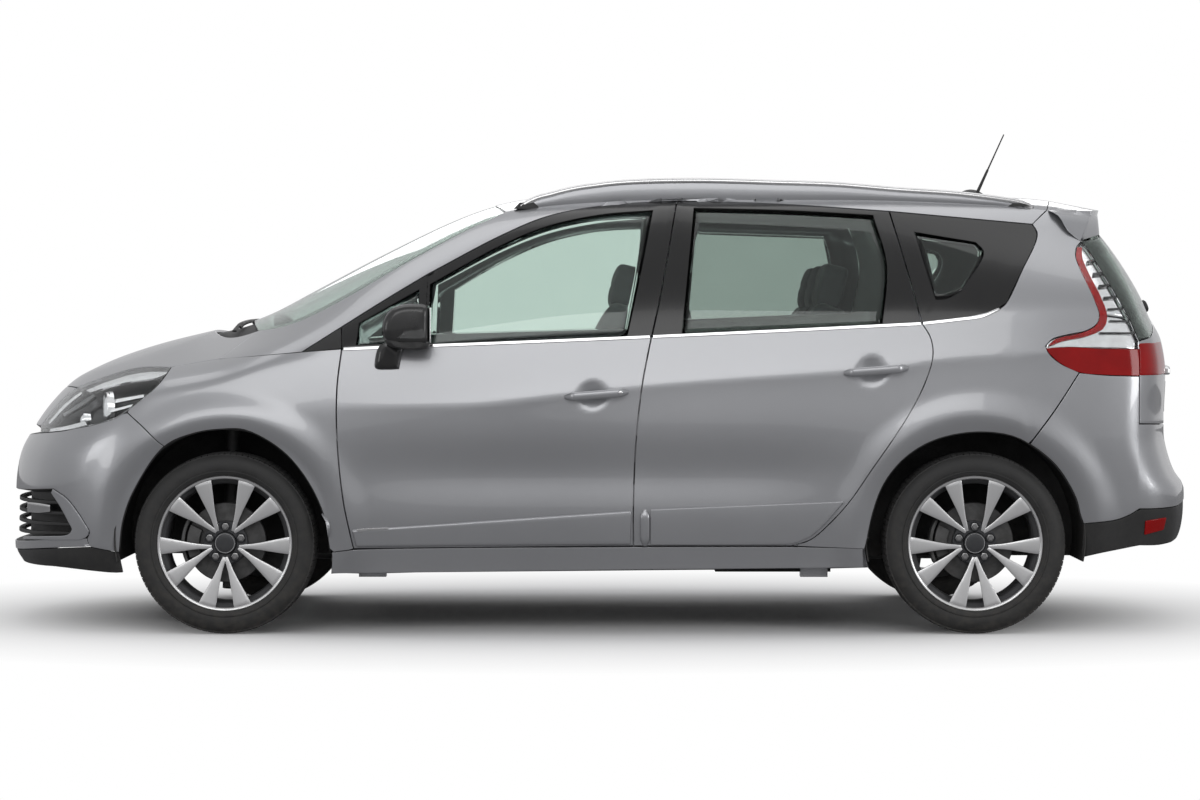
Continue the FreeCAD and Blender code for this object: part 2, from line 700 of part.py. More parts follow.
gate_seal = gate_room.cut(gate_line).common(skin_bed).cut(under_seal)
body_side = body_side.fuse(gate_seal.common(side_prism(side_face(body_side_outline, shut_gap), left_far,
                                                       -out(side_inner_share))).cut(roof_room))
for outline in door_outlines.values():
    ring = side_prism(side_face(outline, -flange_reach / 2), left_far, inner_side_y)
    ring = ring.cut(side_prism(side_face(outline, -flange_reach / 2 - seal_width), left_far, inner_side_y))
    body_side = body_side.fuse(ring.common(skin_bed).cut(under_wall))
for x in (front_pad_x, rear_pad_x):
    pad = box(x - pad_half_length, x + pad_half_length, -pad_y - pad_half_width, -pad_y + pad_half_width,
              pad_height, floor_height)
    body_side = body_side.fuse(pad)
body_side = body_side.removeSplitter()
put("body_sides", pair([body_side]))

# Roof and fixed glass
roof = skin_panel(outer, cabin, plan_prism(plan_face(roof_plan), plan_low, plan_high)).cut(gate_room)
put("roof_panel", [roof])
screen = plan_prism(plan_face(windscreen_plan), plan_low, plan_high).common(glass_outer).cut(glass_inner)
quarter = side_prism(side_face(quarter_outline, -seat_clearance), left_far, inner_side_y)
quarter = quarter.common(glass_outer).cut(glass_inner)
put("fixed_glass", [screen, quarter, other_side(quarter)])

# Bonnet, cowl and wipers
bonnet = plan_prism(plan_face(bonnet_plan, -shut_gap), up(bonnet_low_share), plan_high)
put("bonnet", [skin_panel(outer, under_skin, bonnet)])
cowl = plan_prism(plan_face(cowl_plan, -seat_clearance), plan_low, plan_high)
cowl = cowl.common(glass_outer).cut(under_skin)
wipers = []
for pivot_share, tip_share in wiper_reach_shares:
    ends = [V(along(x), out(y), crown_height(x, out(y)))
            for x, y in ((wiper_pivot_share, pivot_share), (wiper_tip_share, tip_share))]
    wipers.append(rod(ends[0], ends[1], wiper_radius).cut(glass_outer))
put("cowl_wipers", [joined([cowl] + wipers)])

# Front wings, bumper, grilles and lamps
lamp_zone = side_prism(side_face(lamp_outline), left_far, front_lamp_inner_y)
wing = side_prism(side_face(wing_outline, -seat_clearance), left_far, inner_side_y)
wing = skin_panel(outer, under_skin, wing).cut([bonnet_room, cowl_room, windscreen_room, lamp_zone] + arches)
put("front_wings", pair([max(wing.Solids, key=lambda solid: solid.Volume)]))
lamp = side_prism(side_face(lamp_outline, -seat_clearance), left_far, front_lamp_inner_y - seat_clearance)
lamp = lamp.common(outer).cut([under_lamp, bonnet_room])
put("headlamps", pair([lamp]))
bumper = side_prism(side_face(front_bumper_outline, -seat_clearance), -side_far, side_far)
bumper = bumper.common(outer).cut([under_wall, bonnet_room, lamp_zone, other_side(lamp_zone)] + arch_four)
front_openings = [long_prism(rear_face(o), -half_length - overrun, along(grille_back_share))
                  for o in (intake_outline, upper_grille_outline)]
bumper = bumper.cut(front_openings)
put("front_bumper", [bumper])
grilles = []
for outline in (intake_outline, upper_grille_outline):
    zone = long_prism(rear_face(outline, -seat_clearance), -half_length - overrun, along(grille_back_share))
    plate = zone.common(skin_bed).cut(under_wall)
    low, high = plate.BoundBox.ZMin, plate.BoundBox.ZMax
    bars = max(2, round((high - low) / grille_pitch))
    pitch = (high - low) / bars
    slots = [box(-body_length, 0, -out(grille_slot_share), out(grille_slot_share),
                 low + pitch * (i + slot_start_share), low + pitch * (i + 1 - slot_start_share))
             for i in range(bars)]
    grilles.append(plate.cut(slots))
put("front_grilles", grilles)

# Tailgate with its glass and lamps
tail_far = half_length + overrun
tail_prism = side_prism(side_face(tailgate_outline, -shut_gap / 2), -side_far, side_far)
glass_zone = long_prism(rear_face(rear_glass_outline), along(gate_front_share), tail_far)
glass_pane = long_prism(rear_face(rear_glass_outline, -seat_clearance), along(gate_front_share), tail_far)
gate_lamp_zone = long_prism(rear_face(gate_lamp_outline), along(gate_front_share), tail_far)
gate_lamp_zone = gate_lamp_zone.cut(skin_bed)
gate = tail_prism.common(outer).cut([under_wall, glass_zone, gate_lamp_zone, other_side(gate_lamp_zone)])
put("tailgate", [gate])
put("tailgate_glass", [glass_pane.common(glass_outer).cut(glass_inner)])
gate_lamp = long_prism(rear_face(gate_lamp_outline, -seat_clearance), along(gate_front_share), tail_far)
put("tailgate_lamps", pair([gate_lamp.common(tail_prism).common(outer).cut(under_skin)]))

# Tail lamps, rear bumper and valance
tail_lamp = side_prism(side_face(tail_lamp_outline, -seat_clearance), left_far, lamp_inner_y - seat_clearance)
put("tail_lamps", pair([tail_lamp.common(outer).cut([under_lamp, gate_room])]))
lamp_room = side_prism(side_face(tail_lamp_outline), left_far, lamp_inner_y)
rear_bumper = side_prism(side_face(rear_bumper_outline, -seat_clearance), -side_far, side_far)
rear_bumper = rear_bumper.common(outer)
rear_bumper = rear_bumper.cut([under_wall, gate_room, lamp_room, other_side(lamp_room)] + arch_four)
put("rear_bumper", [rear_bumper])
valance = side_prism(side_face(valance_outline, -seat_clearance), -side_far, side_far)
put("rear_valance", [valance.common(outer).cut([under_wall] + arch_four)])

# Floor, firewall and rear panel
floor_edge_y = floor_half_width - seat_clearance
floor_front = firewall_x - firewall_thickness
floor_top = rear_floor_height + floor_thickness
front_floor = box(floor_front, rear_floor_x, -floor_edge_y, floor_edge_y, floor_height, cabin_floor)
riser_x = rear_floor_x - floor_thickness
riser = box(riser_x, rear_floor_x, -floor_edge_y, floor_edge_y, floor_height, floor_top)
rear_floor = box(riser_x, rear_panel_x, -floor_edge_y, floor_edge_y, rear_floor_height, floor_top)
rear_panel = box(rear_panel_x - firewall_thickness, rear_panel_x, -rear_panel_half_width,
                 rear_panel_half_width, rear_floor_height, up(rear_panel_share))
firewall = box(floor_front, firewall_x, -firewall_half_width, firewall_half_width, floor_height,
               up(firewall_share))
tunnel = box(firewall_x, rear_floor_x, -tunnel_half_width, tunnel_half_width, floor_height,
             floor_height + tunnel_height)
tunnel_void = box(floor_front, riser_x, -tunnel_half_width + tunnel_wall,
                  tunnel_half_width - tunnel_wall, floor_height, floor_height + tunnel_height - tunnel_wall)
floor = joined([front_floor, riser, rear_floor, rear_panel, firewall, tunnel]).cut([tunnel_void] + arch_four)
put("floor_pan", [floor])
put("arch_liners", pair(list(liners.values())))

# Roof rails, bowed bars that stand on their two ends
rail_y = -out(rail_y_share)
rail_top = []
rail_bottom = []
for i in range(rail_steps + 1):
    share = rail_front_share + (rail_rear_share - rail_front_share) * i / rail_steps
    lift = rail_height * min(1.0, rail_rise_share * min(i, rail_steps - i))
    base = crown_height(share, rail_y)
    rail_top.append(V(along(share), 0, base + lift))
    foot = base - rail_thickness if i in (0, rail_steps) else base + lift - rail_thickness
    rail_bottom.append(V(along(share), 0, foot))
rail_wire = Part.makePolygon(rail_top + rail_bottom[::-1] + [rail_top[0]])
rail = side_prism(Part.Face(rail_wire), rail_y - rail_thickness / 2, rail_y + rail_thickness / 2).cut(outer)
put("roof_rails", pair([max(rail.Solids, key=lambda solid: solid.Volume)]))

# Aerial
aerial_foot = V(along(aerial_share), 0, up(smooth(top_line_shares, aerial_share)) - aerial_foot_height / 2)
foot = Part.makeCone(aerial_foot_radius, aerial_cone_radius, aerial_cone_height, aerial_foot, V(0, 0, 1))
mast = rod(aerial_foot, V(along(aerial_top_share), 0, aerial_top_height), aerial_tip_radius)
put("aerial", [foot.fuse(mast).cut(outer)])

# Engine, front structure, exhaust and tank
engine_floor = hub_height - engine_drop
engine_rear = front_axle_x + engine_half_length - engine_forward
engine = box(engine_rear - 2 * engine_half_length, engine_rear, -engine_half_width, engine_half_width,
             engine_floor, up(engine_top_share))
put("engine_block", [engine])
subframe_floor = engine_floor - subframe_height
cross = box(front_axle_x - subframe_half_length, front_axle_x + subframe_reach, -subframe_half_width,
            subframe_half_width, subframe_floor, engine_floor)
leg = box(front_axle_x + subframe_reach - rail_beam_width, firewall_x, -subframe_half_width,
          -subframe_half_width + rail_beam_width, subframe_floor, floor_height)
chassis_rail = box(crash_beam_x, floor_front, -chassis_rail_y - rail_beam_width, -chassis_rail_y,
                   chassis_rail_height, chassis_rail_height + rail_beam_height)
crash_beam = box(crash_beam_x - rail_beam_width, crash_beam_x, -crash_half_width, crash_half_width,
                 chassis_rail_height, chassis_rail_height + rail_beam_height)
panel_x = along(slam_panel_share)
post = box(panel_x - slam_panel_depth, panel_x, -chassis_rail_y - rail_beam_width, -chassis_rail_y,
           chassis_rail_height, up(slam_panel_top_share) - slam_panel_depth / 2)
slam_panel = box(panel_x - slam_panel_depth, panel_x, -slam_half_width, slam_half_width,
                 up(slam_panel_top_share) - slam_panel_depth, up(slam_panel_top_share))
stop_foot = V(panel_x - slam_panel_depth / 2, -stop_y, up(slam_panel_top_share))
stop = Part.makeCylinder(stop_radius, overrun, stop_foot).common(skin_bed)
tower = box(front_axle_x - tower_half_length, floor_front, -tower_outer_y, -chassis_rail_y, tower_height,
            tower_height + rail_beam_width)
mount_end = kingpin_top + kingpin * 2 * stud_length
top_mount = rod(kingpin_top + kingpin * seat_clearance, mount_end, 2 * stud_radius)
lamp_clear_y = front_lamp_inner_y + seat_clearance
lamp_clear = side_prism(side_face(lamp_outline, seat_clearance), left_far, lamp_clear_y)
front_frame = joined([crash_beam, slam_panel] + pair([chassis_rail, post, stop, tower, top_mount]))
put("front_frame", [front_frame.cut(pair([lamp_clear]))])
arm_root = V(front_axle_x, -subframe_half_width + arm_radius, subframe_floor + arm_radius)
lower_arm = rod(arm_root, kingpin_low - kingpin * ball_socket_drop, arm_radius)
ball_socket = rod(kingpin_low - kingpin * 2 * stud_length, kingpin_low, 2 * stud_radius)
put("front_subframe", [joined([cross] + pair([leg, lower_arm, ball_socket]))])
pipe_bend = V(exhaust_bend_x, exhaust_y, exhaust_height)
muffler_front = V(muffler_x, exhaust_y, muffler_height)
muffler_rear = V(muffler_x + muffler_length, exhaust_y, muffler_height)
pipe = rod(V(front_axle_x + subframe_reach, exhaust_y, exhaust_height), pipe_bend, exhaust_radius)
elbow = Part.makeSphere(exhaust_radius, pipe_bend)
rise = rod(pipe_bend, muffler_front, exhaust_radius)
muffler = rod(muffler_front, muffler_rear, muffler_radius)
hangers = []
for x, foot_z, roof_z in ((hanger_x, exhaust_height, floor_height + tunnel_height - tunnel_wall),
                          (muffler_x + muffler_length / 2, muffler_height, rear_floor_height)):
    hangers.append(box(x - hanger_half_width, x + hanger_half_width, exhaust_y - hanger_half_width,
                       exhaust_y + hanger_half_width, foot_z, roof_z))
put("exhaust", [joined([pipe, elbow, rise, muffler] + hangers)])
tank = box(tank_x, tank_x + tank_length, -tank_outer_y, -tunnel_half_width, floor_height - tank_height,
           floor_height)
put("fuel_tank", [tank])

# Front knuckles, struts and the rear axle
axle_radius = hub_bore_radius - axle_clearance
hub_face_y = half_track - hub_face_offset


def knuckle():
    """Upright with its stub axle and strut, on the left."""
    x, z = front_axle_x, hub_height
    axle = cross_cylinder(x, z, axle_radius, -hub_face_y - axle_reach, -knuckle_y)
    block = box(x - knuckle_half_length, x + knuckle_half_length, -knuckle_y - knuckle_width, -knuckle_y,
                z - knuckle_half_height, z + knuckle_half_height)
    strut_foot = V(x, -strut_foot_y, z + knuckle_half_height - strut_radius)
    strut = rod(strut_foot, kingpin_top - kingpin * stud_length, strut_radius)
    top_stud = rod(kingpin_top - kingpin * 2 * stud_length, kingpin_top, stud_radius)
    stud_foot = kingpin_low + kingpin * seat_clearance
    ball_stud = rod(stud_foot, kingpin_low + kingpin * 3 * stud_length, stud_radius)
    return joined([axle, block, strut, top_stud, ball_stud])


put("knuckle_left", [knuckle()])
put("knuckle_right", [other_side(knuckle())])
beam_end_y = hub_face_y + axle_reach
beam = cross_cylinder(rear_axle_x, hub_height, axle_radius, -beam_end_y, beam_end_y)
arm = box(rear_floor_x, rear_axle_x, -trailing_arm_y - rail_beam_width, -trailing_arm_y,
          hub_height - axle_radius, hub_height + axle_radius)
put("rear_axle", [joined([beam] + pair([arm]))])

# Wheels
rim_half = rim_width / 2
tyre_half = tyre_width / 2


def turned(points, x, y, z):
    """Ring turned about a wheel's axis through points of radius and offset from the wheel's middle."""
    corners = [V(x, y + offset, z + radius) for radius, offset in points]
    wire = Part.makePolygon(corners + [corners[0]])
    return Part.Face(wire).revolve(V(x, y, z), V(0, 1, 0), 360)


def tyre(x, y):
    """Tyre as a many-sided ring, with a flat side on the ground, round a true bore."""
    bead = rim_seat_radius + bead_clearance
    shoulder = tyre_radius - tyre_shoulder_drop
    tread_half = tyre_half - tyre_shoulder_drop
    bead_half = rim_half - flange_width
    wires = []
    for radius, offset in ((bead, -bead_half), (shoulder, -tyre_half), (tyre_radius, -tread_half),
                           (tyre_radius, tread_half), (shoulder, tyre_half), (bead, bead_half)):
        corner_radius = radius / math.cos(math.pi / tyre_sides)
        corners = []
        for i in range(tyre_sides):
            angle = 2 * math.pi * (i + 0.5) / tyre_sides - math.pi / 2
            corners.append(V(x + corner_radius * math.cos(angle), y + offset,
                             hub_height + corner_radius * math.sin(angle)))
        wires.append(Part.makePolygon(corners + [corners[0]]))
    ring = Part.makeLoft(wires, True, True)
    return ring.cut(cross_cylinder(x, hub_height, bead, y - tyre_width, y + tyre_width))


def rim(x, y, facing):
    """Rim with its spokes, hub and brake disc; facing is the sign of the side that it faces."""
    top = rim_seat_radius + flange_height
    well = rim_seat_radius - rim_wall
    barrel = turned([(radius, offset * facing) for radius, offset in (
        (top, -rim_half), (rim_seat_radius, -rim_half + flange_width),
        (rim_seat_radius, rim_half - flange_width),
        (top, rim_half), (well, rim_half), (well - rim_wall, -rim_half))], x, y, hub_height)
    face_y = y + wheel_face_offset * facing
    spokes = []
    for i in range(spoke_pairs):
        for side in (-1, 1):
            angle = math.radians(spoke_start_angle + 360.0 / spoke_pairs * i + side * spoke_half_angle)
            root = math.radians(spoke_start_angle + 360.0 / spoke_pairs * i + side * spoke_root_half_angle)
            start = V(math.cos(root), 0, math.sin(root)) * (hub_radius - rim_wall * 2)
            end = V(math.cos(angle), 0, math.sin(angle)) * (well + rim_wall / 4)
            line = (end - start).normalize()
            across = V(-line.z, 0, line.x)
            corners = [start + across * spoke_root_width / 2, end + across * spoke_tip_width / 2,
                       end - across * spoke_tip_width / 2, start - across * spoke_root_width / 2]
            corners = [p + V(x, face_y, hub_height) for p in corners]
            spoke = Part.Face(Part.makePolygon(corners + [corners[0]]))
            spokes.append(spoke.extrude(V(0, -spoke_thickness * facing, 0)))
    disc_y = y + disc_offset * facing
    disc = rod(V(x, disc_y, hub_height), V(x, disc_y + disc_thickness * facing, hub_height), disc_radius)
    hub = rod(V(x, disc_y - disc_thickness * facing / 2, hub_height), V(x, face_y, hub_height), hub_radius)
    body = joined([barrel, disc, hub] + spokes)
    return body.cut(rod(V(x, disc_y - disc_thickness * facing, hub_height),
                        V(x, face_y - spoke_thickness * facing, hub_height), hub_bore_radius))


for end, x in axle_places.items():
    put("tyre_" + end + "_left", [tyre(x, -half_track)])
    put("tyre_" + end + "_right", [tyre(x, half_track)])
    wheel = rim(x, -half_track, -1)
    put("rim_" + end + "_left", [wheel])
    put("rim_" + end + "_right", [other_side(wheel)])


# Cabin fittings
def profile_prism(points, near_y, far_y):
    """Prism across the car with a side-view profile of places and heights."""
    corners = [V(x, 0, z) for x, z in points]
    return side_prism(Part.Face(Part.makePolygon(corners + [corners[0]])), near_y, far_y)


steering_centre = V(along(steering_place_share), -driver_y, up(steering_height_share))
steering_axis = V(*steering_axis_share).normalize()
dash_front = firewall_x + seat_clearance
dash = profile_prism([(dash_front, up(dash_foot_share)), (dash_front, up(dash_top_share)),
                      (dash_front + dash_top_reach, up(dash_top_share)),
                      (dash_front + dash_reach, up(dash_lip_share)),
                      (dash_front + dash_foot_reach, up(dash_foot_share))], -dash_half_width, dash_half_width)
column = rod(steering_centre - steering_axis * (steering_hub_depth + seat_clearance),
             steering_centre - steering_axis * column_length, column_radius)
put("dashboard", [joined([dash, column])])


def seat(x, y, base_z, width, back_height, head_width):
    """Seat with its leaning back and head rest; x is where the back meets the cushion."""
    lean = back_height * seat_lean_share
    body = profile_prism([(x - cushion_length, base_z), (x - cushion_length, base_z + cushion_height),
                          (x, base_z + cushion_rear_height), (x + lean, base_z + back_height),
                          (x + lean + back_top_depth, base_z + back_height), (x + back_depth, base_z)],
                         y - width / 2, y + width / 2)
    head = box(x + lean, x + lean + back_top_depth, y - head_width / 2, y + head_width / 2,
               base_z + back_height, base_z + back_height + head_height)
    return joined([body, head])


seat_foot = cabin_floor + seat_clearance
front_row = [seat(front_seat_x, y, seat_foot, seat_width, back_height, head_width)
             for y in (-driver_y, driver_y)]
middle_row = [seat(middle_seat_x, y, seat_foot, middle_seat_width, back_height, head_width)
              for y in (-middle_seat_pitch, 0, middle_seat_pitch)]
put("front_seats", front_row)
tunnel_room_y = tunnel_half_width + seat_clearance
tunnel_room = box(firewall_x, rear_floor_x, -tunnel_room_y, tunnel_room_y, 0,
                  floor_height + tunnel_height + seat_clearance)
put("rear_seats", [row_seat.cut(tunnel_room) for row_seat in middle_row])

hexagon = []
for i in range(steering_sides):
    angle = 2 * math.pi * i / steering_sides
    hexagon.append(V(steering_radius + steering_tube_radius * math.cos(angle), 0,
                     steering_tube_radius * math.sin(angle)))
ring = Part.Face(Part.makePolygon(hexagon + [hexagon[0]])).revolve(V(0, 0, 0), V(0, 0, 1), 360)
hub = Part.makeCylinder(steering_hub_radius, steering_hub_depth, V(0, 0, -steering_hub_depth))
bars = [box(-steering_radius, steering_radius, -steering_tube_radius, steering_tube_radius,
            -steering_tube_radius, 0),
        box(-steering_tube_radius, steering_tube_radius, -steering_radius, 0, -steering_tube_radius, 0)]
steering = joined([ring, hub] + bars)
steering.Placement = FreeCAD.Placement(steering_centre, FreeCAD.Rotation(V(0, 0, 1), steering_axis))
put("steering_wheel", [steering])

# Mirrors on the front doors
mirror_wires = []
for y, growth in ((-mirror_inner_y, 0.0), (-mirror_outer_y, -mirror_taper)):
    face = side_face(mirror_outline, growth)
    mirror_wires.append(face.translated(V(0, y, 0)).OuterWire)
housing = Part.makeLoft(mirror_wires, True, True)
foot = side_prism(side_face(mirror_foot_outline), -mirror_inner_y - mirror_taper, -mirror_foot_inner_y)
mirror = joined([housing, foot]).cut(outer)
put("mirror_left", [mirror])
put("mirror_right", [other_side(mirror)])

os.makedirs("parts", exist_ok=True)
for name, shape in parts.items():
    print(name, shape.isValid(), len(shape.Solids))
    shape.exportStep("parts/" + name + ".step")
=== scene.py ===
import json
import math

import bmesh
import bpy
import numpy as np
from mathutils import Matrix, Vector

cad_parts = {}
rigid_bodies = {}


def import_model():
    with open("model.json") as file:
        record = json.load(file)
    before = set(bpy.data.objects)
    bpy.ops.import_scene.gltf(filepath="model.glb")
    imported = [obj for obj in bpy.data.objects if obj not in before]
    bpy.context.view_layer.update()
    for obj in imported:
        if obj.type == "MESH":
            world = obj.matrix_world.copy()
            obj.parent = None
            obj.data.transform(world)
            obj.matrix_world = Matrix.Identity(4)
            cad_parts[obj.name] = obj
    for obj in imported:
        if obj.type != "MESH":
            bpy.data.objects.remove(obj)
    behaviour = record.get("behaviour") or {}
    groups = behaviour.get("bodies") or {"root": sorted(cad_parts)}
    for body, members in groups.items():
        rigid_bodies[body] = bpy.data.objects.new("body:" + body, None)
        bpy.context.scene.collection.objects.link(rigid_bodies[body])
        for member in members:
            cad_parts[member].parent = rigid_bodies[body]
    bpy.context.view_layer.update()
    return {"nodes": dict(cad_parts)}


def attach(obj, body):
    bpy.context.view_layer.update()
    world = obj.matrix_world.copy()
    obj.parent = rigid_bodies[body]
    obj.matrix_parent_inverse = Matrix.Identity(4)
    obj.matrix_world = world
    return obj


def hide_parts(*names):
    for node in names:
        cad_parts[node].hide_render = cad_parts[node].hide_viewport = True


# A silver-grey seven-seat minivan in a plain studio.
# Metres; +Z is up, the front faces -X and the car's left side is -Y.

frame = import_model()

HALF_LENGTH = 2.285
HALF_WIDTH = 0.922
HEIGHT = 1.662
HUB_HEIGHT = 0.336
FRONT_AXLE = -1.375
REAR_AXLE = 1.395
HALF_TRACK = 0.768
ARCH_LIFT = 0.018
SHUT_GAP = 0.005

# The photograph's camera, square to the car's left side
PHOTO_SIZE = (1200, 800)
PHOTO_FOCUS = 3122.0
CAMERA_PLACE = (0.010, -12.380, 1.142)
PHOTO_CENTRE_X = 599.5
HORIZON_Y = 325.0
SENSOR_WIDTH = 36.0

# Rays that find the surface: where they start and how far they reach
OVER_ROOF = 1.9
DOWN = (0, 0, -1)
DOWN_REACH = 1.6
SIDE_START = 11.3
SIDE_REACH = 1.15
BEYOND_END = 2.5
END_REACH = 2.2
BEHIND_TAIL = 2.4
TAIL_REACH = 1.0


# Lines that run the length of the body: pairs of place and value, as shares
TOP_LINE = [(-1.03, 0.47), (-0.912, 0.548), (-0.884, 0.570), (-0.832, 0.606), (-0.78, 0.632),
    (-0.728, 0.653), (-0.676, 0.670), (-0.624, 0.687), (-0.60, 0.695), (-0.55, 0.722), (-0.498, 0.761),
    (-0.446, 0.799), (-0.394, 0.837), (-0.342, 0.873), (-0.29, 0.908), (-0.238, 0.940), (-0.186, 0.966),
    (-0.131, 0.983), (-0.044, 0.995), (0.0875, 1.0), (0.306, 0.9995), (0.525, 0.996), (0.725, 0.9875),
    (0.803, 0.975), (0.86, 0.9615), (1.03, 0.925)]
SPLIT_HEIGHT = [(-1.03, 0.42), (-0.93, 0.505), (-0.861, 0.548), (-0.78, 0.576), (-0.697, 0.595),
    (-0.619, 0.613), (-0.53, 0.655), (-0.445, 0.716), (-0.289, 0.850), (-0.152, 0.938), (-0.05, 0.962),
    (0.1, 0.973), (0.4, 0.974), (0.65, 0.964), (0.8, 0.947), (1.03, 0.90)]
SPLIT_WIDTH = [(-1.03, 0.66), (-0.93, 0.70), (-0.861, 0.725), (-0.78, 0.755), (-0.697, 0.78),
    (-0.619, 0.79), (-0.53, 0.80), (-0.445, 0.79), (-0.289, 0.715), (-0.152, 0.65), (-0.05, 0.625),
    (0.1, 0.615), (0.6, 0.615), (0.8, 0.615), (1.03, 0.62)]
CREST_HEIGHT = [(-1.03, 0.39), (-0.93, 0.485), (-0.861, 0.522), (-0.78, 0.553), (-0.697, 0.576),
    (-0.619, 0.598), (-0.53, 0.628), (-0.445, 0.668), (-0.289, 0.795), (-0.157, 0.893), (-0.082, 0.933),
    (0.012, 0.952), (0.13, 0.957), (0.48, 0.947), (0.714, 0.920), (0.8, 0.905), (1.03, 0.86)]
CREST_WIDTH = [(-1.03, 0.86), (-0.861, 0.885), (-0.697, 0.90), (-0.53, 0.915), (-0.445, 0.905),
    (-0.289, 0.82), (-0.157, 0.75), (-0.082, 0.715), (0.012, 0.70), (0.48, 0.695), (0.714, 0.685),
    (0.8, 0.685), (1.03, 0.70)]
BELT_HEIGHT = [(-1.03, 0.36), (-0.93, 0.45), (-0.861, 0.485), (-0.78, 0.515), (-0.697, 0.540),
    (-0.619, 0.562), (-0.53, 0.592), (-0.41, 0.630), (0.084, 0.660), (0.522, 0.690), (0.8, 0.712),
    (1.03, 0.72)]
PLAN_WIDTH = [(-1.03, 0.70), (-0.95, 0.845), (-0.87, 0.925), (-0.78, 0.965), (-0.69, 0.98),
    (-0.57, 0.988), (-0.33, 0.995), (0.16, 1.0), (0.52, 1.0), (0.68, 0.995), (0.80, 0.975), (0.88, 0.945),
    (0.95, 0.90), (1.03, 0.83)]
BOTTOM_LINE = [(-1.03, 0.150), (-0.9, 0.138), (-0.785, 0.125), (-0.43, 0.134), (0.43, 0.147),
    (0.785, 0.168), (0.93, 0.200), (1.03, 0.22)]
# The shoulder crease: its height, and how strongly it shows
CREASE_HEIGHT = [(-1.03, 0.46), (-0.7, 0.495), (-0.42, 0.505), (-0.23, 0.509), (-0.053, 0.534),
    (0.055, 0.550), (0.166, 0.563), (0.50, 0.599), (0.54, 0.611), (0.72, 0.627), (1.03, 0.64)]
CREASE_STRENGTH = [(-1.03, 0.0), (-0.62, 0.0), (-0.45, 0.35), (-0.30, 0.7), (-0.1, 1.0), (0.55, 1.0),
    (0.72, 0.9), (1.03, 0.5)]
TUCK_STRENGTH = [(-1.03, 0.0), (-0.47, 0.0), (-0.33, 0.7), (-0.15, 1.0), (0.22, 1.0), (0.36, 0.5),
    (0.47, 0.0), (1.03, 0.0)]
# The nose and the tail: pairs of height and place, as shares
NOSE_LINE = [(0.0, -0.983), (0.127, -0.983), (0.165, -1.0), (0.25, -0.999), (0.32, -0.998), (0.39, -0.99),
    (0.445, -0.969), (0.496, -0.944), (0.532, -0.921), (0.575, -0.895), (0.66, -0.86), (1.3, -0.86)]
TAIL_LINE = [(0.0, 0.93), (0.151, 0.937), (0.174, 0.977), (0.222, 0.996), (0.27, 1.0), (0.317, 1.0),
    (0.345, 0.985), (0.389, 0.973), (0.437, 0.966), (0.484, 0.966), (0.58, 0.969), (0.651, 0.962),
    (0.70, 0.944), (0.7515, 0.928), (0.818, 0.90), (0.866, 0.876), (0.915, 0.848), (0.93, 0.84),
    (1.3, 0.80)]
NOSE_PLAN_RADIUS = 1.35
TAIL_PLAN_RADIUS = 2.30
WIDE_SHARE = 0.43
WIDE_TO_BELT = 0.83
SIDE_SOFTENING = ((0.25, -0.02), (0.5, 0.0), (0.25, 0.02))
BELT_WIDTH_SHARE = 0.957
LOW_WIDTH_SHARE = 0.988
BOTTOM_WIDTH_SHARE = 0.955
CROWN_POWER = 2.3
CREASE_DEPTH = 0.010
CREASE_REACH = 0.075
CREASE_RADIUS = 0.005
CREASE_BASE = 0.35
TUCK_DEPTH = 0.018
FLARE_DEPTH = 0.012
FLARE_RADIUS = 0.455
FLARE_WIDTH = 0.10
FLARE_LIP = 0.055
FLARE_LIP_SHARE = 1.5
FLARE_FOOT = 0.22
FLARE_FADE = 0.10
TUCK_HEIGHT = 0.60
TUCK_REACH = 0.10
EDGE_SIDE_NOSE = 0.16
EDGE_SIDE_TAIL = 0.09
EDGE_TOP = 0.03

# Building the pieces
SLOPE_STEP = 1e-4
LEAST_SLOPE = 0.05
LINE_STEPS = 12
JOIN_REACH = 4e-4
MIDDLE_REACH = 0.004
SHARP_ANGLE = 50
COVER_REACH = 0.018
COVER_DEPTH = 0.020
BLOCK_AREA = 1.2e-4
OUTWARD = (0, -1, 0)


def hermite(knots_x, knots_y, x):
    """Smooth curve through each row's knots, which never overshoots; x has one place for each row."""
    slopes = np.diff(knots_y, axis=1) / np.diff(knots_x, axis=1)
    product = slopes[:, :-1] * slopes[:, 1:]
    total = slopes[:, :-1] + slopes[:, 1:]
    inner = np.where(product > 0, 2 * product / np.where(product > 0, total, 1), 0.0)
    tangents = np.concatenate([slopes[:, :1], inner, slopes[:, -1:]], axis=1)
    i = np.clip((x[:, None] >= knots_x[:, 1:-1]).sum(axis=1), 0, slopes.shape[1] - 1)
    rows = np.arange(len(x))
    x0, x1 = knots_x[rows, i], knots_x[rows, i + 1]
    width = x1 - x0
    t = (x - x0) / width
    inside = np.clip(t, 0, 1)
    value = ((2 * inside ** 3 - 3 * inside ** 2 + 1) * knots_y[rows, i]
        + (inside ** 3 - 2 * inside ** 2 + inside) * width * tangents[rows, i]
        + (3 * inside ** 2 - 2 * inside ** 3) * knots_y[rows, i + 1] + (inside ** 3 - inside ** 2) * width
        * tangents[rows, i + 1])
    return value + (t - inside) * width * np.where(t > 1, slopes[rows, i], 0.0)


SAMPLES = np.linspace(-1.1, 1.4, 2501)


def blurred(values, reach):
    """Values with their corners rounded over the given share."""
    step = SAMPLES[1] - SAMPLES[0]
    offsets = np.arange(-3 * reach, 3 * reach + step, step)
    weights = np.exp(-0.5 * (offsets / reach) ** 2)
    padded = np.pad(values, len(weights) // 2, mode="edge")
    return np.convolve(padded, weights / weights.sum(), mode="valid")[:len(values)]


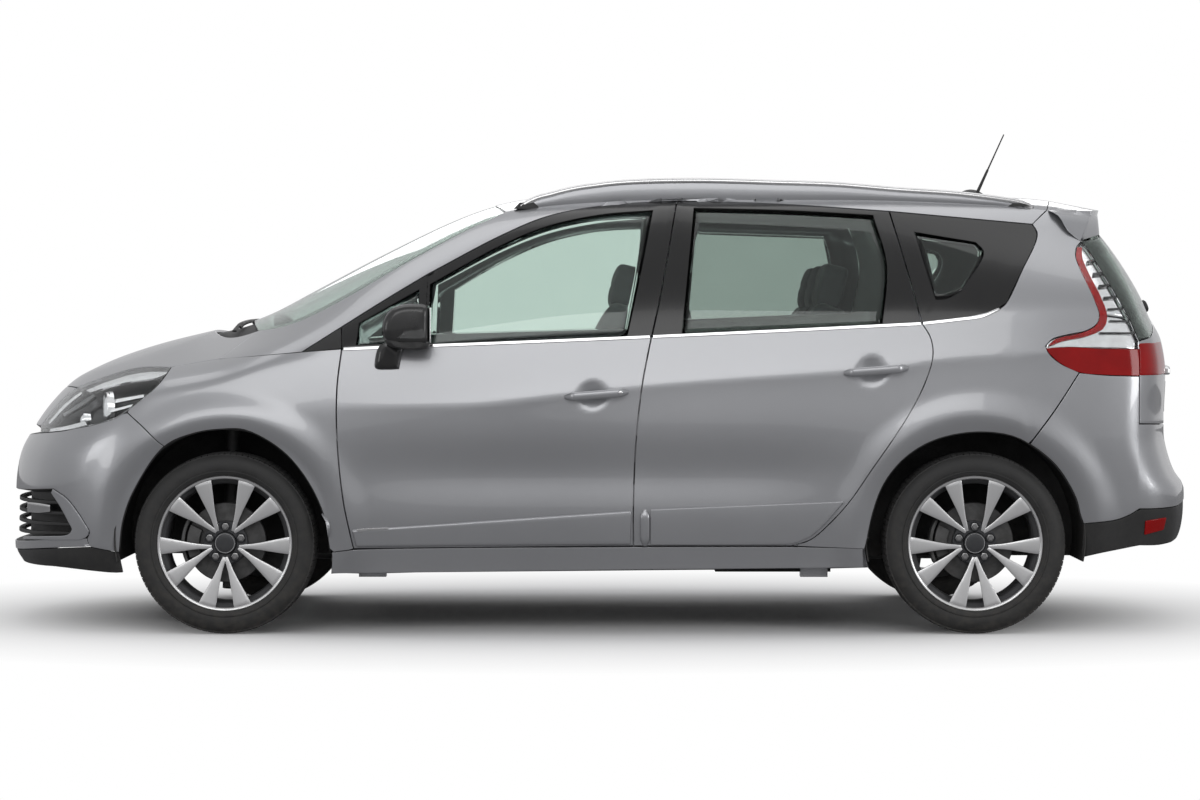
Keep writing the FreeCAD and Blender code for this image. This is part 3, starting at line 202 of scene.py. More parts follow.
def line(table, reach=0.018):
    """A table as values at the samples, smoothed."""
    places, values = (np.array(v, float) for v in zip(*table))
    curve = hermite(np.tile(places, (len(SAMPLES), 1)), np.tile(values, (len(SAMPLES), 1)),
        np.clip(SAMPLES, places[0], places[-1]))
    return blurred(curve, reach)


LINES = {name: line(table) for name, table in (("top", TOP_LINE), ("split_z", SPLIT_HEIGHT),
    ("split_y", SPLIT_WIDTH), ("crest_z", CREST_HEIGHT), ("crest_y", CREST_WIDTH),
    ("belt_z", BELT_HEIGHT), ("plan", PLAN_WIDTH), ("bottom", BOTTOM_LINE), ("crease", CREASE_HEIGHT),
    ("crease_strength", CREASE_STRENGTH), ("tuck", TUCK_STRENGTH))}
LINES["nose"] = line(NOSE_LINE, 0.010)
LINES["tail"] = line(TAIL_LINE, 0.008)


def at(name, share):
    return np.interp(share, SAMPLES, LINES[name])


def smooth_max(a, b, reach):
    return np.maximum(a, b) + np.maximum(reach - np.abs(a - b), 0.0) ** 2 / (4 * reach)


def side_reach(x, z):
    """Distance of the body's side from the middle at a place and height."""
    s = x / HALF_LENGTH
    wide = at("plan", s) * HALF_WIDTH
    bottom = at("bottom", s) * HEIGHT
    belt = at("belt_z", s) * HEIGHT
    wide_z = np.minimum(WIDE_SHARE * HEIGHT, belt * WIDE_TO_BELT)
    knots_z = np.stack([bottom, (bottom + wide_z) / 2, wide_z, belt, at("crest_z", s) * HEIGHT,
        at("split_z", s) * HEIGHT], axis=1)
    knots_y = np.stack([wide * BOTTOM_WIDTH_SHARE, wide * LOW_WIDTH_SHARE, wide, wide * BELT_WIDTH_SHARE,
        wide * at("crest_y", s), wide * at("split_y", s)], axis=1)
    reach = sum(weight * hermite(knots_z, knots_y, z + step) for weight, step in SIDE_SOFTENING)
    away = np.sqrt((z - at("crease", s) * HEIGHT) ** 2 + CREASE_RADIUS ** 2) - CREASE_RADIUS
    reach = reach + at("crease_strength", s) * CREASE_DEPTH * (np.exp(-away / CREASE_REACH) - CREASE_BASE)
    reach = reach - at("tuck", s) * TUCK_DEPTH * np.exp(-((z - TUCK_HEIGHT) / TUCK_REACH) ** 2)
    for axle in (FRONT_AXLE, REAR_AXLE):
        distance = np.hypot(x - axle, z - HUB_HEIGHT - ARCH_LIFT)
        rise = np.clip((distance - FLARE_RADIUS - FLARE_WIDTH) / -FLARE_WIDTH, 0, 1)
        fall = np.clip((FLARE_RADIUS - distance) / FLARE_LIP, 0, 1)
        above = np.clip((z - FLARE_FOOT) / FLARE_FADE, 0, 1)
        reach = reach + above * FLARE_DEPTH * (rise ** 2 * (3 - 2 * rise) - FLARE_LIP_SHARE * fall ** 1.5)
    return reach


def top_reach(x, y):
    """Height of the body's top at a place."""
    s = x / HALF_LENGTH
    split_y = at("split_y", s) * at("plan", s) * HALF_WIDTH
    top = at("top", s) * HEIGHT
    return top - (top - at("split_z", s) * HEIGHT) * (np.sqrt(y ** 2 + 1e-6) / split_y) ** CROWN_POWER


def outside(points):
    """How far points are outside the body, nearly as a distance; negative inside."""
    x, y, z = points[:, 0], np.abs(points[:, 1]), points[:, 2]
    side = y - side_reach(x, z)
    top = z - top_reach(x, y)
    nose = (at("nose", z / HEIGHT) * HALF_LENGTH + NOSE_PLAN_RADIUS - np.sqrt(
        np.maximum(NOSE_PLAN_RADIUS ** 2 - y ** 2, 0.01)) - x)
    tail = (x - at("tail", z / HEIGHT) * HALF_LENGTH + TAIL_PLAN_RADIUS
        - np.sqrt(TAIL_PLAN_RADIUS ** 2 - y ** 2))
    around = smooth_max(smooth_max(side, nose, EDGE_SIDE_NOSE), tail, EDGE_SIDE_TAIL)
    return smooth_max(around, top, EDGE_TOP)


def slopes_at(points):
    """How the distance from the body changes along each axis."""
    steps = np.eye(3) * SLOPE_STEP
    return np.stack([(outside(points + step) - outside(points - step)) / (2 * SLOPE_STEP)
        for step in steps], axis=1)


def settle(points, rounds=6):
    """Points moved squarely onto the body."""
    points = np.array(points, float)
    for _ in range(rounds):
        value, slope = outside(points), slopes_at(points)
        points = points - slope * (value / np.maximum((slope ** 2).sum(axis=1), LEAST_SLOPE))[:, None]
    return points


def normals_at(points):
    slope = slopes_at(points)
    return slope / np.linalg.norm(slope, axis=1)[:, None]


def cast(starts, direction, reach, steps=160):
    """Where rays first meet the body; a ray that misses ends where it comes nearest."""
    starts = np.array(starts, float)
    direction = np.array(direction, float)
    ts = np.linspace(0, reach, steps)
    values = np.stack([outside(starts + direction * t) for t in ts], axis=1)
    hit = (values <= 0).argmax(axis=1)
    missed = (values > 0).all(axis=1)
    hit = np.where(missed, values.argmin(axis=1), hit)
    high = ts[hit]
    low = ts[np.maximum(hit - 1, 0)]
    for _ in range(22):
        middle = (low + high) / 2
        is_in = outside(starts + direction * middle[:, None]) <= 0
        high = np.where(is_in, middle, high)
        low = np.where(is_in, low, middle)
    t = np.where(missed, ts[np.where(missed, hit, 0)], (low + high) / 2)
    return starts + direction * t[:, None]


def spaced(points, count):
    """A line of points, spaced evenly again."""
    points = np.array(points, float)
    run = np.concatenate([[0], np.cumsum(np.linalg.norm(np.diff(points, axis=0), axis=1))])
    even = np.linspace(0, run[-1], count)
    return np.stack([np.interp(even, run, points[:, k]) for k in range(points.shape[1])], axis=1)


def curve(points, count=48):
    """Smooth line through the points, evenly spaced."""
    points = np.array(points, float)
    if len(points) == 2:
        return spaced(points, count)
    ends = np.vstack([2 * points[0] - points[1], points, 2 * points[-1] - points[-2]])
    fine = []
    for a, b, c, d in zip(ends, ends[1:], ends[2:], ends[3:]):
        ab, bc, cd = (max(np.linalg.norm(q - p) ** 0.5, 1e-6) for p, q in ((a, b), (b, c), (c, d)))
        for t in np.linspace(0, 1, 24, endpoint=False):
            m1 = (c - b) + bc * ((b - a) / ab - (c - a) / (ab + bc))
            m2 = (c - b) + bc * ((d - c) / cd - (d - b) / (bc + cd))
            fine.append((2 * t ** 3 - 3 * t ** 2 + 1) * b + (t ** 3 - 2 * t ** 2 + t) * m1
                + (3 * t ** 2 - 2 * t ** 3) * c + (t ** 3 - t ** 2) * m2)
    return spaced(np.array(fine + [points[-1]]), count)


def from_photo(pixels, count=48):
    """Line on the car's left side that the photograph shows through the pixels."""
    flat = curve(pixels, count)
    slope_x = (flat[:, 0] - PHOTO_CENTRE_X) / PHOTO_FOCUS
    slope_z = (HORIZON_Y - flat[:, 1]) / PHOTO_FOCUS
    direction = np.stack([slope_x, np.ones(len(flat)), slope_z], axis=1)
    start = np.array(CAMERA_PLACE) + direction * SIDE_START
    return cast(start, direction, SIDE_REACH, 96)


def dropped(x, y):
    """Places on the top of the body, straight below the given ones."""
    x, y = np.broadcast_arrays(x, y)
    return cast(np.stack([x, y, np.full(len(x), OVER_ROOF)], axis=1), DOWN, DOWN_REACH)


def from_above(shares, count=48):
    """Line on the top of the body through pairs of shares of its half length and half width."""
    flat = curve([(x * HALF_LENGTH, y * HALF_WIDTH) for x, y in shares], count)
    return dropped(flat[:, 0], flat[:, 1])


def shown(obj, body, material, replaced=()):
    """Give a piece its material and the body that it rides on."""
    obj.data.materials.clear()
    obj.data.materials.append(material)
    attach(obj, body)
    if replaced:
        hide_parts(*replaced)
    return obj


def object_from(bm, name, smooth_angle=35.0):
    """New object from a bmesh, smooth except along its sharp edges."""
    bmesh.ops.remove_doubles(bm, verts=bm.verts, dist=1e-6)
    for face in bm.faces:
        face.smooth = True
    for edge in bm.edges:
        if len(edge.link_faces) == 2 and edge.calc_face_angle(0) > math.radians(smooth_angle):
            edge.smooth = False
    mesh = bpy.data.meshes.new(name)
    bm.to_mesh(mesh)
    bm.free()
    obj = bpy.data.objects.new(name, mesh)
    bpy.context.scene.collection.objects.link(obj)
    return obj


def coons(bottom, right, top, left, across, up):
    """Grid of points between four lines that meet at their ends."""
    bottom, top = spaced(bottom, across + 1), spaced(top, across + 1)
    left, right = spaced(left, up + 1), spaced(right, up + 1)
    u = np.linspace(0, 1, across + 1)[None, :, None]
    v = np.linspace(0, 1, up + 1)[:, None, None]
    corners = ((1 - u) * (1 - v) * bottom[0] + u * (1 - v) * bottom[-1] + (1 - u) * v * top[0] + u * v
        * top[-1])
    return (1 - v) * bottom[None] + v * top[None] + (1 - u) * left[:, None] + u * right[:, None] - corners


def grid_mesh(points):
    """Sheet of quads through a grid of points."""
    rows, columns = points.shape[:2]
    bm = bmesh.new()
    bmesh.ops.create_grid(bm, x_segments=columns - 1, y_segments=rows - 1, size=0.5)
    for vert in bm.verts:
        i = round((vert.co.x + 0.5) * (columns - 1))
        j = round((vert.co.y + 0.5) * (rows - 1))
        vert.co = points[j, i]
    return bm


def draw_in(bm, gap):
    """Move the open edges of a sheet inwards along the surface."""
    bm.normal_update()
    moves = {}
    for edge in bm.edges:
        if len(edge.link_faces) != 1:
            continue
        face = edge.link_faces[0]
        inward = face.normal.cross(edge.verts[1].co - edge.verts[0].co).normalized()
        if inward.dot(face.calc_center_median() - edge.verts[0].co) < 0:
            inward = -inward
        for vert in edge.verts:
            moves.setdefault(vert, []).append(inward)
    for vert, ways in moves.items():
        mean = sum(ways, Vector()).normalized()
        vert.co += mean * (gap / max(mean.dot(ways[0]), 0.5))


def join_into(bm, piece):
    """Add a bmesh to another one."""
    mesh = bpy.data.meshes.new("patch")
    piece.to_mesh(mesh)
    piece.free()
    bm.from_mesh(mesh)
    bpy.data.meshes.remove(mesh)


def sheet_from(patches, gap, depth, flat, whole=False):
    """Sheet over the given patches, each of four lines and its numbers of faces across and up."""
    bm = bmesh.new()
    for patch in patches:
        join_into(bm, grid_mesh(coons(*patch)))
    if whole:
        for vert in bm.verts:
            if abs(vert.co.y) < MIDDLE_REACH:
                vert.co.y = 0.0
        twin = bmesh.ops.duplicate(bm, geom=bm.verts[:] + bm.edges[:] + bm.faces[:])["geom"]
        bmesh.ops.scale(bm, vec=(1, -1, 1), verts=[v for v in twin if isinstance(v, bmesh.types.BMVert)])
    bmesh.ops.remove_doubles(bm, verts=bm.verts, dist=JOIN_REACH)
    bmesh.ops.recalc_face_normals(bm, faces=bm.faces)
    if gap:
        draw_in(bm, gap)
    if not flat:
        places = settle(np.array([v.co[:] for v in bm.verts]))
        outward = normals_at(places)
        places -= outward * depth
        for vert, place in zip(bm.verts, places):
            vert.co = place
        bm.normal_update()
        facing = sum(face.normal.dot(Vector(outward[face.verts[0].index])) * face.calc_area()
            for face in bm.faces)
        if facing < 0:
            bmesh.ops.reverse_faces(bm, faces=bm.faces)
    return bm


def bevelled(obj, width, segments=2):
    edge = obj.modifiers.new("edge", "BEVEL")
    edge.width = width
    edge.segments = segments
    edge.limit_method = "ANGLE"
    edge.angle_limit = math.radians(SHARP_ANGLE)


def finish_edges(obj, thickness, bevel, segments=2):
    """Give a sheet its thickness inwards and rounded edges."""
    if thickness:
        wall = obj.modifiers.new("wall", "SOLIDIFY")
        wall.thickness = thickness
        wall.offset = -1
    if bevel:
        bevelled(obj, bevel, segments)
        normal = obj.modifiers.new("normals", "WEIGHTED_NORMAL")
        normal.keep_sharp = True
        normal.weight = 80
    return obj


def skin(name, patches, gap=0.0, depth=0.0, thickness=0.012, bevel=0.002, flat=False, whole=False):
    """Body panel over patches, with its thickness and rounded edges; a negative depth stands proud."""
    bm = sheet_from(patches, gap, depth, flat, whole)
    return finish_edges(object_from(bm, name, 60), thickness, bevel)


def grid_part(grid, low, high, columns):
    """Patch over some rows of a grid and its first columns."""
    return (grid[low, :columns + 1], grid[low:high + 1, columns], grid[high, :columns + 1],
        grid[low:high + 1, 0], columns, high - low)


def pocket(name, patches, wall, deep, depth=0.004, gap=0.0, whole=False):
    """Recess behind an opening: its walls and its back."""
    bm = sheet_from(patches, gap, depth, False, whole)
    bmesh.ops.inset_region(bm, faces=bm.faces[:], thickness=wall, depth=-deep, use_boundary=True,
        use_even_offset=True)
    return finish_edges(object_from(bm, name, 40), 0.003, 0)


def ring(outer, inner, across, deep):
    """Patches between two loops of four lines each: bottom, right, top and left."""
    return [band(far, near, count, deep) for far, near, count in zip(outer, inner, across * 2)]


def chain(*lines):
    """One line out of several that follow each other."""
    return np.vstack([lines[0]] + [line[1:] for line in lines[1:]])


def bridge(a, b, count=40):
    """Line over the body between two points."""
    return settle(np.linspace(a, b, count))


def middle_between(low, high, count=24):
    """Line along the middle of the body between two lines that end there."""
    return bridge(low[-1], high[-1], count)


def band(low, high, across, up):
    """Patch between two lines, straight at both ends."""
    return low, np.array([low[-1], high[-1]]), high, np.array([low[0], high[0]]), across, up


def half_band(low, high, across, up, side=None):
    """Patch between two lines that end on the middle of the body."""
    if side is None:
        side = np.array([low[0], high[0]])
    return low, middle_between(low, high), high, side, across, up


def copied(obj, name):
    """Copy of an object with its own mesh."""
    other = obj.copy()
    other.data = obj.data.copy()
    other.name = name
    bpy.context.scene.collection.objects.link(other)
    return other


def moved_to(obj, name, shift, mirror):
    """Copy of a left piece, moved along the car and for the right side reflected."""
    other = copied(obj, name)
    bm = bmesh.new()
    bm.from_mesh(other.data)
    bmesh.ops.translate(bm, vec=(shift, 0, 0), verts=bm.verts)
    if mirror:
        bmesh.ops.scale(bm, vec=(1, -1, 1), verts=bm.verts)
        bmesh.ops.reverse_faces(bm, faces=bm.faces)
    bm.to_mesh(other.data)
    bm.free()
    return other


def both_sides(obj, body, material, replaced=(), sided=True):
    """A left piece and its mirror image, each on its own body; @ stands for the side."""
    stem = obj.name
    other = moved_to(obj, stem + "_right", 0, True)
    obj.name = stem + "_left"
    for piece, side in ((obj, "left"), (other, "right")):
        nodes = [node.replace("@", side) for node in replaced] if sided or side == "left" else ()
        shown(piece, body.replace("@", side), material, nodes)


# Lines of the left side, in pixels of the photograph
DOOR_FRONT_PX = [(353, 549), (348.5, 530), (343, 504), (338, 463), (335.7, 422), (336.5, 384), (341, 349)]
DOOR_SPLIT_PX = [(633, 546), (633, 504), (635.5, 443), (642, 384), (651, 336.8)]
DOOR_REAR_PX = [(791, 546), (810, 540), (828, 525), (849, 502), (870, 472), (906, 419), (924.7, 383),
    (932.7, 355), (930, 337), (922, 323.8)]
FRAME_SPLIT_PX = [(651, 336.8), (659, 300), (669, 245), (676.3, 200)]
FRAME_TOP_FRONT_PX = [(340.5, 327), (382, 301), (427, 274), (501, 235), (547, 216), (604, 205),
    (676.3, 200)]
FRAME_TOP_REAR_PX = [(676.3, 200), (785, 204), (889, 211)]
FRAME_REAR_PX = [(922, 323.8), (915.5, 300), (902, 253), (889, 211)]
FRONT_GLASS_PX = ([(428, 345.6), (626, 337.8)], [(626, 337.8), (640, 272), (652, 210)],
    [(430, 284), (501, 245), (547, 226), (600, 214.5), (652, 210)], [(428, 345.6), (430, 284)])
REAR_GLASS_PX = ([(682, 335.2), (881, 326)], [(881, 326), (886, 265), (872, 215)],
    [(694, 207.5), (785, 210), (872, 215)], [(682, 335.2), (694, 207.5)])
REAR_CLEAR_PX = ([(685, 320), (851, 312)], [(851, 312), (859, 265), (849, 226)],
    [(695.7, 220.5), (849, 226)], [(685, 320), (695.7, 220.5)])
QUARTER_PX = ([(922, 323.8), (955, 320.5), (983, 316), (1006, 303)],
    [(1006, 303), (1021, 272), (1037, 234), (1032, 224)], [(889, 211), (1032, 224)],
    [(922, 323.8), (915.5, 300), (902, 253), (889, 211)])
QUARTER_CLEAR_PX = ([(935.6, 299), (945, 298.5), (960, 291)], [(960, 291), (983, 252), (975, 242)],
    [(914.6, 232), (975, 242)], [(935.6, 299), (914.6, 232)])
WING_TOP_FRONT_PX = [(171, 367), (219, 359), (260, 355.6)]
WING_TOP_REAR_PX = [(260, 355.6), (301, 352), (341, 349)]
WING_MIDDLE_PX = [(245, 430), (252, 395), (260, 355.6)]
ARCH_FRONT_PX = [(163.8, 446.4), (194, 433), (222, 429), (245, 430)]
ARCH_REAR_PX = [(245, 430), (281, 450), (306, 479), (324, 517), (330, 552.6)]
LAMP_REAR_PX = [(125.5, 411.5), (145, 397), (161, 381), (171, 367)]
LAMP_TOP_PX = [(40, 426), (61, 400), (76.5, 387.5), (107, 376), (138, 367.5), (171, 367)]
LAMP_BOTTOM_PX = [(40, 433), (61, 431), (92, 425), (115, 418), (125.5, 411.5)]
BUMPER_ARCH_PX = [(118.6, 552.6), (122, 522), (133, 491), (163.8, 446.4)]
QUARTER_ARCH_PX = [(864, 549), (866, 541), (872, 513), (883, 484), (904, 458), (934, 440), (973, 432),
    (1009, 435), (1029, 444)]
LAMP_ARM_PX = [(1045, 346), (1052, 339), (1070, 334), (1086, 330.5), (1096.5, 323.5), (1099, 314)]
LAMP_SIDE_PX = [(1099, 314), (1093, 297), (1080, 270), (1075, 256), (1076, 247), (1081, 241)]
LAMP_UNDER_PX = [(1048, 353), (1059, 363), (1078.75, 372.5), (1104, 375), (1139, 376)]
REAR_ARCH_PX = [(1083, 524), (1080, 515), (1075, 497), (1056, 466), (1029, 444)]
GLASS_SIDE_PX = [(1138.5, 341), (1128, 317), (1104, 276), (1087, 249), (1080, 241)]


# Where the lines over the top end, as shares of the half length
BONNET_FRONT = -0.9135
SCREEN_FOOT = -0.591
SCREEN_HEAD = -0.178
ROOF_TAIL = 0.772


def px(*points, count=48):
    return from_photo(list(points), count)


def loop_px(loop):
    return [from_photo(side) for side in loop]


def spot(x, y):
    """The place on the car's left side at one pixel."""
    return from_photo([(x, y), (x + 0.01, y)], 2)[0]


def over_end(a, z_middle, end, count=48):
    """Line over the nose or the tail from a place at its side to the middle."""
    t = np.linspace(0, 1, LINE_STEPS)
    z = a[2] + (z_middle - a[2]) * (1 - (1 - t) ** 2)
    starts = np.stack([np.full(LINE_STEPS, BEYOND_END * end), a[1] * (1 - t), z], axis=1)
    places = cast(starts, (-end, 0, 0), END_REACH)
    places[0] = a
    return curve(places, count)


def over_top(a, x_middle, count=48):
    """Line over the bonnet or the roof from a place at its side to the middle."""
    t = np.linspace(0, 1, LINE_STEPS)
    x = a[0] + (x_middle - a[0]) * (1 - (1 - t) ** 2)
    places = dropped(x, a[1] * (1 - t))
    places[0] = a
    return curve(places, count)


def reversed_line(line):
    return np.array(line)[::-1]


def split_at(line, *places):
    """Parts of a line between the points that lie nearest to the given places."""
    cuts = [int(np.argmin(np.linalg.norm(line - place, axis=1))) for place in places]
    cuts = [0] + cuts + [len(line) - 1]
    return [line[a:b + 1] for a, b in zip(cuts, cuts[1:])]


# Effects that several materials share
NUMBER = "NodeSocketFloat"
VECTOR = "NodeSocketVector"


def effect(name, numbers, outputs):
    """Empty node group with its numbers at their start values, and its outputs with their kinds."""
    group = bpy.data.node_groups.new(name, "ShaderNodeTree")
    for label, value in numbers.items():
        group.interface.new_socket(name=label, in_out="INPUT", socket_type=NUMBER).default_value = value
    for label, kind in outputs.items():
        group.interface.new_socket(name=label, in_out="OUTPUT", socket_type=kind)
    return group, group.nodes.new("NodeGroupInput"), group.nodes.new("NodeGroupOutput")


def math_node(tree, operation, first, second=None, clamp=False):
    node = tree.nodes.new("ShaderNodeMath")
    node.operation = operation
    node.use_clamp = clamp
    for i, value in enumerate((first, second)):
        if value is None:
            continue
        if isinstance(value, (int, float)):
            node.inputs[i].default_value = value
        else:
            tree.links.new(value, node.inputs[i])
    return node.outputs[0]


def spread(tree, value, low, high, out_low, out_high):
    node = tree.nodes.new("ShaderNodeMapRange")
    for i, number in enumerate((low, high, out_low, out_high), 1):
        if isinstance(number, (int, float)):
            node.inputs[i].default_value = number
        else:
            tree.links.new(number, node.inputs[i])
    tree.links.new(value, node.inputs[0])
    return node.outputs[0]


def mixed(tree, share, first, second):
    node = tree.nodes.new("ShaderNodeMix")
    node.data_type = "RGBA"
    for socket, value in ((node.inputs[0], share), (node.inputs[6], first), (node.inputs[7], second)):
        if isinstance(value, (tuple, float, int)):
            socket.default_value = value
        else:
            tree.links.new(value, socket)
    return node.outputs[2]


def noise(tree, place, scale, detail=4.0, roughness=0.55):
    node = tree.nodes.new("ShaderNodeTexNoise")
    node.inputs["Detail"].default_value = detail
    node.inputs["Roughness"].default_value = roughness
    if isinstance(scale, (int, float)):
        node.inputs["Scale"].default_value = scale
    else:
        tree.links.new(scale, node.inputs["Scale"])
    tree.links.new(place, node.inputs["Vector"])
    return node.outputs[0]


def object_place(tree):
    return tree.nodes.new("ShaderNodeTexCoord").outputs["Object"]


def cloud_effect():
    """Slow change of colour and gloss over a surface, with dust low down."""
    group, given, out = effect("Use and dust", {"Scale": 3.0, "Gloss": 0.3, "Change": 0.05, "Dust": 0.1,
        "Dust top": 0.5}, {"Mask": NUMBER, "Roughness": NUMBER, "Dust": NUMBER})
    place = object_place(group)
    broad = noise(group, place, given.outputs["Scale"], 5.0)
    change = spread(group, broad, 0.35, 0.65, 0.0, 1.0)
    swing = math_node(group, "MULTIPLY", math_node(group, "SUBTRACT", change, 0.5),
        given.outputs["Change"])
    rough = math_node(group, "ADD", given.outputs["Gloss"], swing, True)
    split = group.nodes.new("ShaderNodeSeparateXYZ")
    group.links.new(place, split.inputs[0])
    low = spread(group, split.outputs[2], 0.0, given.outputs["Dust top"], 1.0, 0.0)
    speckle = spread(group, noise(group, place, 42.0, 6.0), 0.42, 0.68, 0.2, 1.0)
    dust = math_node(group, "MULTIPLY", math_node(group, "MULTIPLY", low, speckle), given.outputs["Dust"])
    group.links.new(change, out.inputs["Mask"])
    group.links.new(rough, out.inputs["Roughness"])
    group.links.new(dust, out.inputs["Dust"])
    return group


def grain_effect():
    """Moulded or cast grain, as a normal."""
    group, given, out = effect("Moulded grain", {"Scale": 600.0, "Strength": 0.2, "Distance": 0.0005},
        {"Normal": VECTOR, "Height": NUMBER})
    place = object_place(group)
    cells = group.nodes.new("ShaderNodeTexVoronoi")
    group.links.new(place, cells.inputs["Vector"])
    group.links.new(given.outputs["Scale"], cells.inputs["Scale"])
    fine = noise(group, place, given.outputs["Scale"], 3.0)
    height = math_node(group, "ADD", cells.outputs["Distance"], math_node(group, "MULTIPLY", fine, 0.6))
    bump = group.nodes.new("ShaderNodeBump")
    group.links.new(height, bump.inputs["Height"])
    group.links.new(given.outputs["Strength"], bump.inputs["Strength"])
    group.links.new(given.outputs["Distance"], bump.inputs["Distance"])
    group.links.new(bump.outputs[0], out.inputs["Normal"])
    group.links.new(height, out.inputs["Height"])
    return group


def weave_effect():
    """Crossed threads, as a colour mask and a normal."""
    group, given, out = effect("Woven threads", {"Threads": 700.0, "Depth": 0.0006},
        {"Mask": NUMBER, "Normal": VECTOR})
    place = object_place(group)
    split = group.nodes.new("ShaderNodeSeparateXYZ")
    group.links.new(place, split.inputs[0])
    up = math_node(group, "ADD", split.outputs[2], math_node(group, "MULTIPLY", split.outputs[0], 0.8))
    waves = []
    for axis in (split.outputs[1], up):
        wave = math_node(group, "SINE", math_node(group, "MULTIPLY", axis, given.outputs["Threads"]))
        waves.append(math_node(group, "ABSOLUTE", wave))
    height = math_node(group, "MAXIMUM", waves[0], waves[1])
    fuzz = math_node(group, "ADD", height, math_node(group, "MULTIPLY", noise(group, place, 900.0), 0.5))
    bump = group.nodes.new("ShaderNodeBump")
    bump.inputs["Strength"].default_value = 0.6
    group.links.new(given.outputs["Depth"], bump.inputs["Distance"])
    group.links.new(fuzz, bump.inputs["Height"])
    group.links.new(math_node(group, "MULTIPLY", waves[0], waves[1]), out.inputs["Mask"])
    group.links.new(bump.outputs[0], out.inputs["Normal"])
    return group


DUST_COLOUR = (0.16, 0.145, 0.125, 1.0)
USE = cloud_effect()
GRAIN = grain_effect()
WEAVE = weave_effect()


def placed(tree, group, **values):
    node = tree.nodes.new("ShaderNodeGroup")
    node.node_tree = group
    for label, value in values.items():
        node.inputs[label.replace("_", " ")].default_value = value
    return node


def shade(grey):
    return (grey, grey, grey, 1.0)


def material(name, colour, second, gloss, change=0.06, scale=3.0, dust=0.1, dust_top=0.5, grain=None,
        weave=None, **principled):
    """Material with changing colour and gloss, dust low down and its own grain or weave."""
    made = bpy.data.materials.new(name)
    made.use_nodes = True
    tree = made.node_tree
    shader = tree.nodes["Principled BSDF"]
    colour, second = (shade(v) if isinstance(v, float) else v for v in (colour, second))
    use = placed(tree, USE, Scale=scale, Gloss=gloss, Change=change, Dust=dust, Dust_top=dust_top)
    base = mixed(tree, use.outputs["Mask"], colour, second)
    if weave:
        threads = placed(tree, WEAVE, Threads=weave[0], Depth=weave[1])
        base = mixed(tree, threads.outputs["Mask"], base, weave[2])
        tree.links.new(threads.outputs["Normal"], shader.inputs["Normal"])
    if grain:
        moulded = placed(tree, GRAIN, Scale=grain[0], Strength=grain[1], Distance=grain[2])
        tree.links.new(moulded.outputs["Normal"], shader.inputs["Normal"])
    if dust:
        base = mixed(tree, use.outputs["Dust"], base, DUST_COLOUR)
    tree.links.new(base, shader.inputs["Base Color"])
    rough = math_node(tree, "ADD", use.outputs["Roughness"], use.outputs["Dust"], True)
    tree.links.new(rough, shader.inputs["Roughness"])
    for label, value in principled.items():
        shader.inputs[label.replace("_", " ")].default_value = value
    return made


def paint_material():
    """Silver metallic paint: flakes under a clear coat with a faint orange peel."""
    made = material("Silver metallic paint", (0.36, 0.365, 0.38, 1), (0.385, 0.39, 0.405, 1), 0.34, 0.03,
        1.3, 0.05, 0.45, Metallic=0.72, Coat_Weight=1.0, Coat_Roughness=0.035, Coat_IOR=1.5)
    tree = made.node_tree
    shader = tree.nodes["Principled BSDF"]
    place = object_place(tree)
    flakes = tree.nodes.new("ShaderNodeTexVoronoi")
    flakes.inputs["Scale"].default_value = 2600.0
    tree.links.new(place, flakes.inputs["Vector"])
    glint = spread(tree, flakes.outputs["Distance"], 0.0, 0.7, 0.0, 1.0)
    tilt = tree.nodes.new("ShaderNodeBump")
    tilt.inputs["Strength"].default_value = 0.10
    tilt.inputs["Distance"].default_value = 0.0002
    tree.links.new(glint, tilt.inputs["Height"])
    tree.links.new(tilt.outputs[0], shader.inputs["Normal"])
    peel = tree.nodes.new("ShaderNodeBump")
    peel.inputs["Strength"].default_value = 0.04
    peel.inputs["Distance"].default_value = 0.0004
    tree.links.new(noise(tree, place, 260.0, 2.0), peel.inputs["Height"])
    tree.links.new(peel.outputs[0], shader.inputs["Coat Normal"])
    return made


PAINT = paint_material()
GLOSS_BLACK = material("Gloss black trim", 0.005, 0.007, 0.22, 0.04, 4.0, 0.02, 0.5, Coat_Weight=0.15)
BLACK_PLASTIC = material("Grained black plastic", 0.016, 0.022, 0.52, 0.1, 6.0, 0.10, 0.6,
    grain=(900.0, 0.25, 0.0004))
MIRROR_BLACK = material("Satin black mirror shell", 0.016, 0.020, 0.28, 0.05, 6.0, 0.02, 0.5,
    Coat_Weight=0.3)
GLASS = material("Green tinted glass", (0.70, 0.80, 0.75, 1), (0.68, 0.78, 0.735, 1), 0.012, 0.01, 2.0,
    0.0, Transmission_Weight=1.0, IOR=1.45)
PRIVACY_GLASS = material("Dark tinted rear glass", (0.47, 0.54, 0.505, 1), (0.45, 0.52, 0.485, 1), 0.012,
    0.01, 2.0, 0.0, Transmission_Weight=1.0, IOR=1.45)
DARK_GLASS = material("Dark screen print under glass", 0.008, 0.012, 0.06, 0.02, 4.0, 0.02, 0.5,
    Coat_Weight=0.5)
LENS = material("Clear lamp cover", (0.96, 0.97, 0.98, 1), (0.93, 0.95, 0.96, 1), 0.02, 0.01, 4.0, 0.0,
    Transmission_Weight=1.0, IOR=1.22)
RED_LENS = material("Red lamp cover", (0.33, 0.002, 0.002, 1), (0.26, 0.001, 0.001, 1), 0.12, 0.03, 9.0,
    0.0, Coat_Weight=0.12, Specular_IOR_Level=0.25)
CHROME = material("Bright chrome", 0.80, 0.74, 0.07, 0.05, 9.0, 0.04, 0.5, Metallic=1.0)
BRIGHT_RAIL = material("Satin anodised rail", 0.72, 0.66, 0.24, 0.08, 7.0, 0.0, Metallic=1.0)
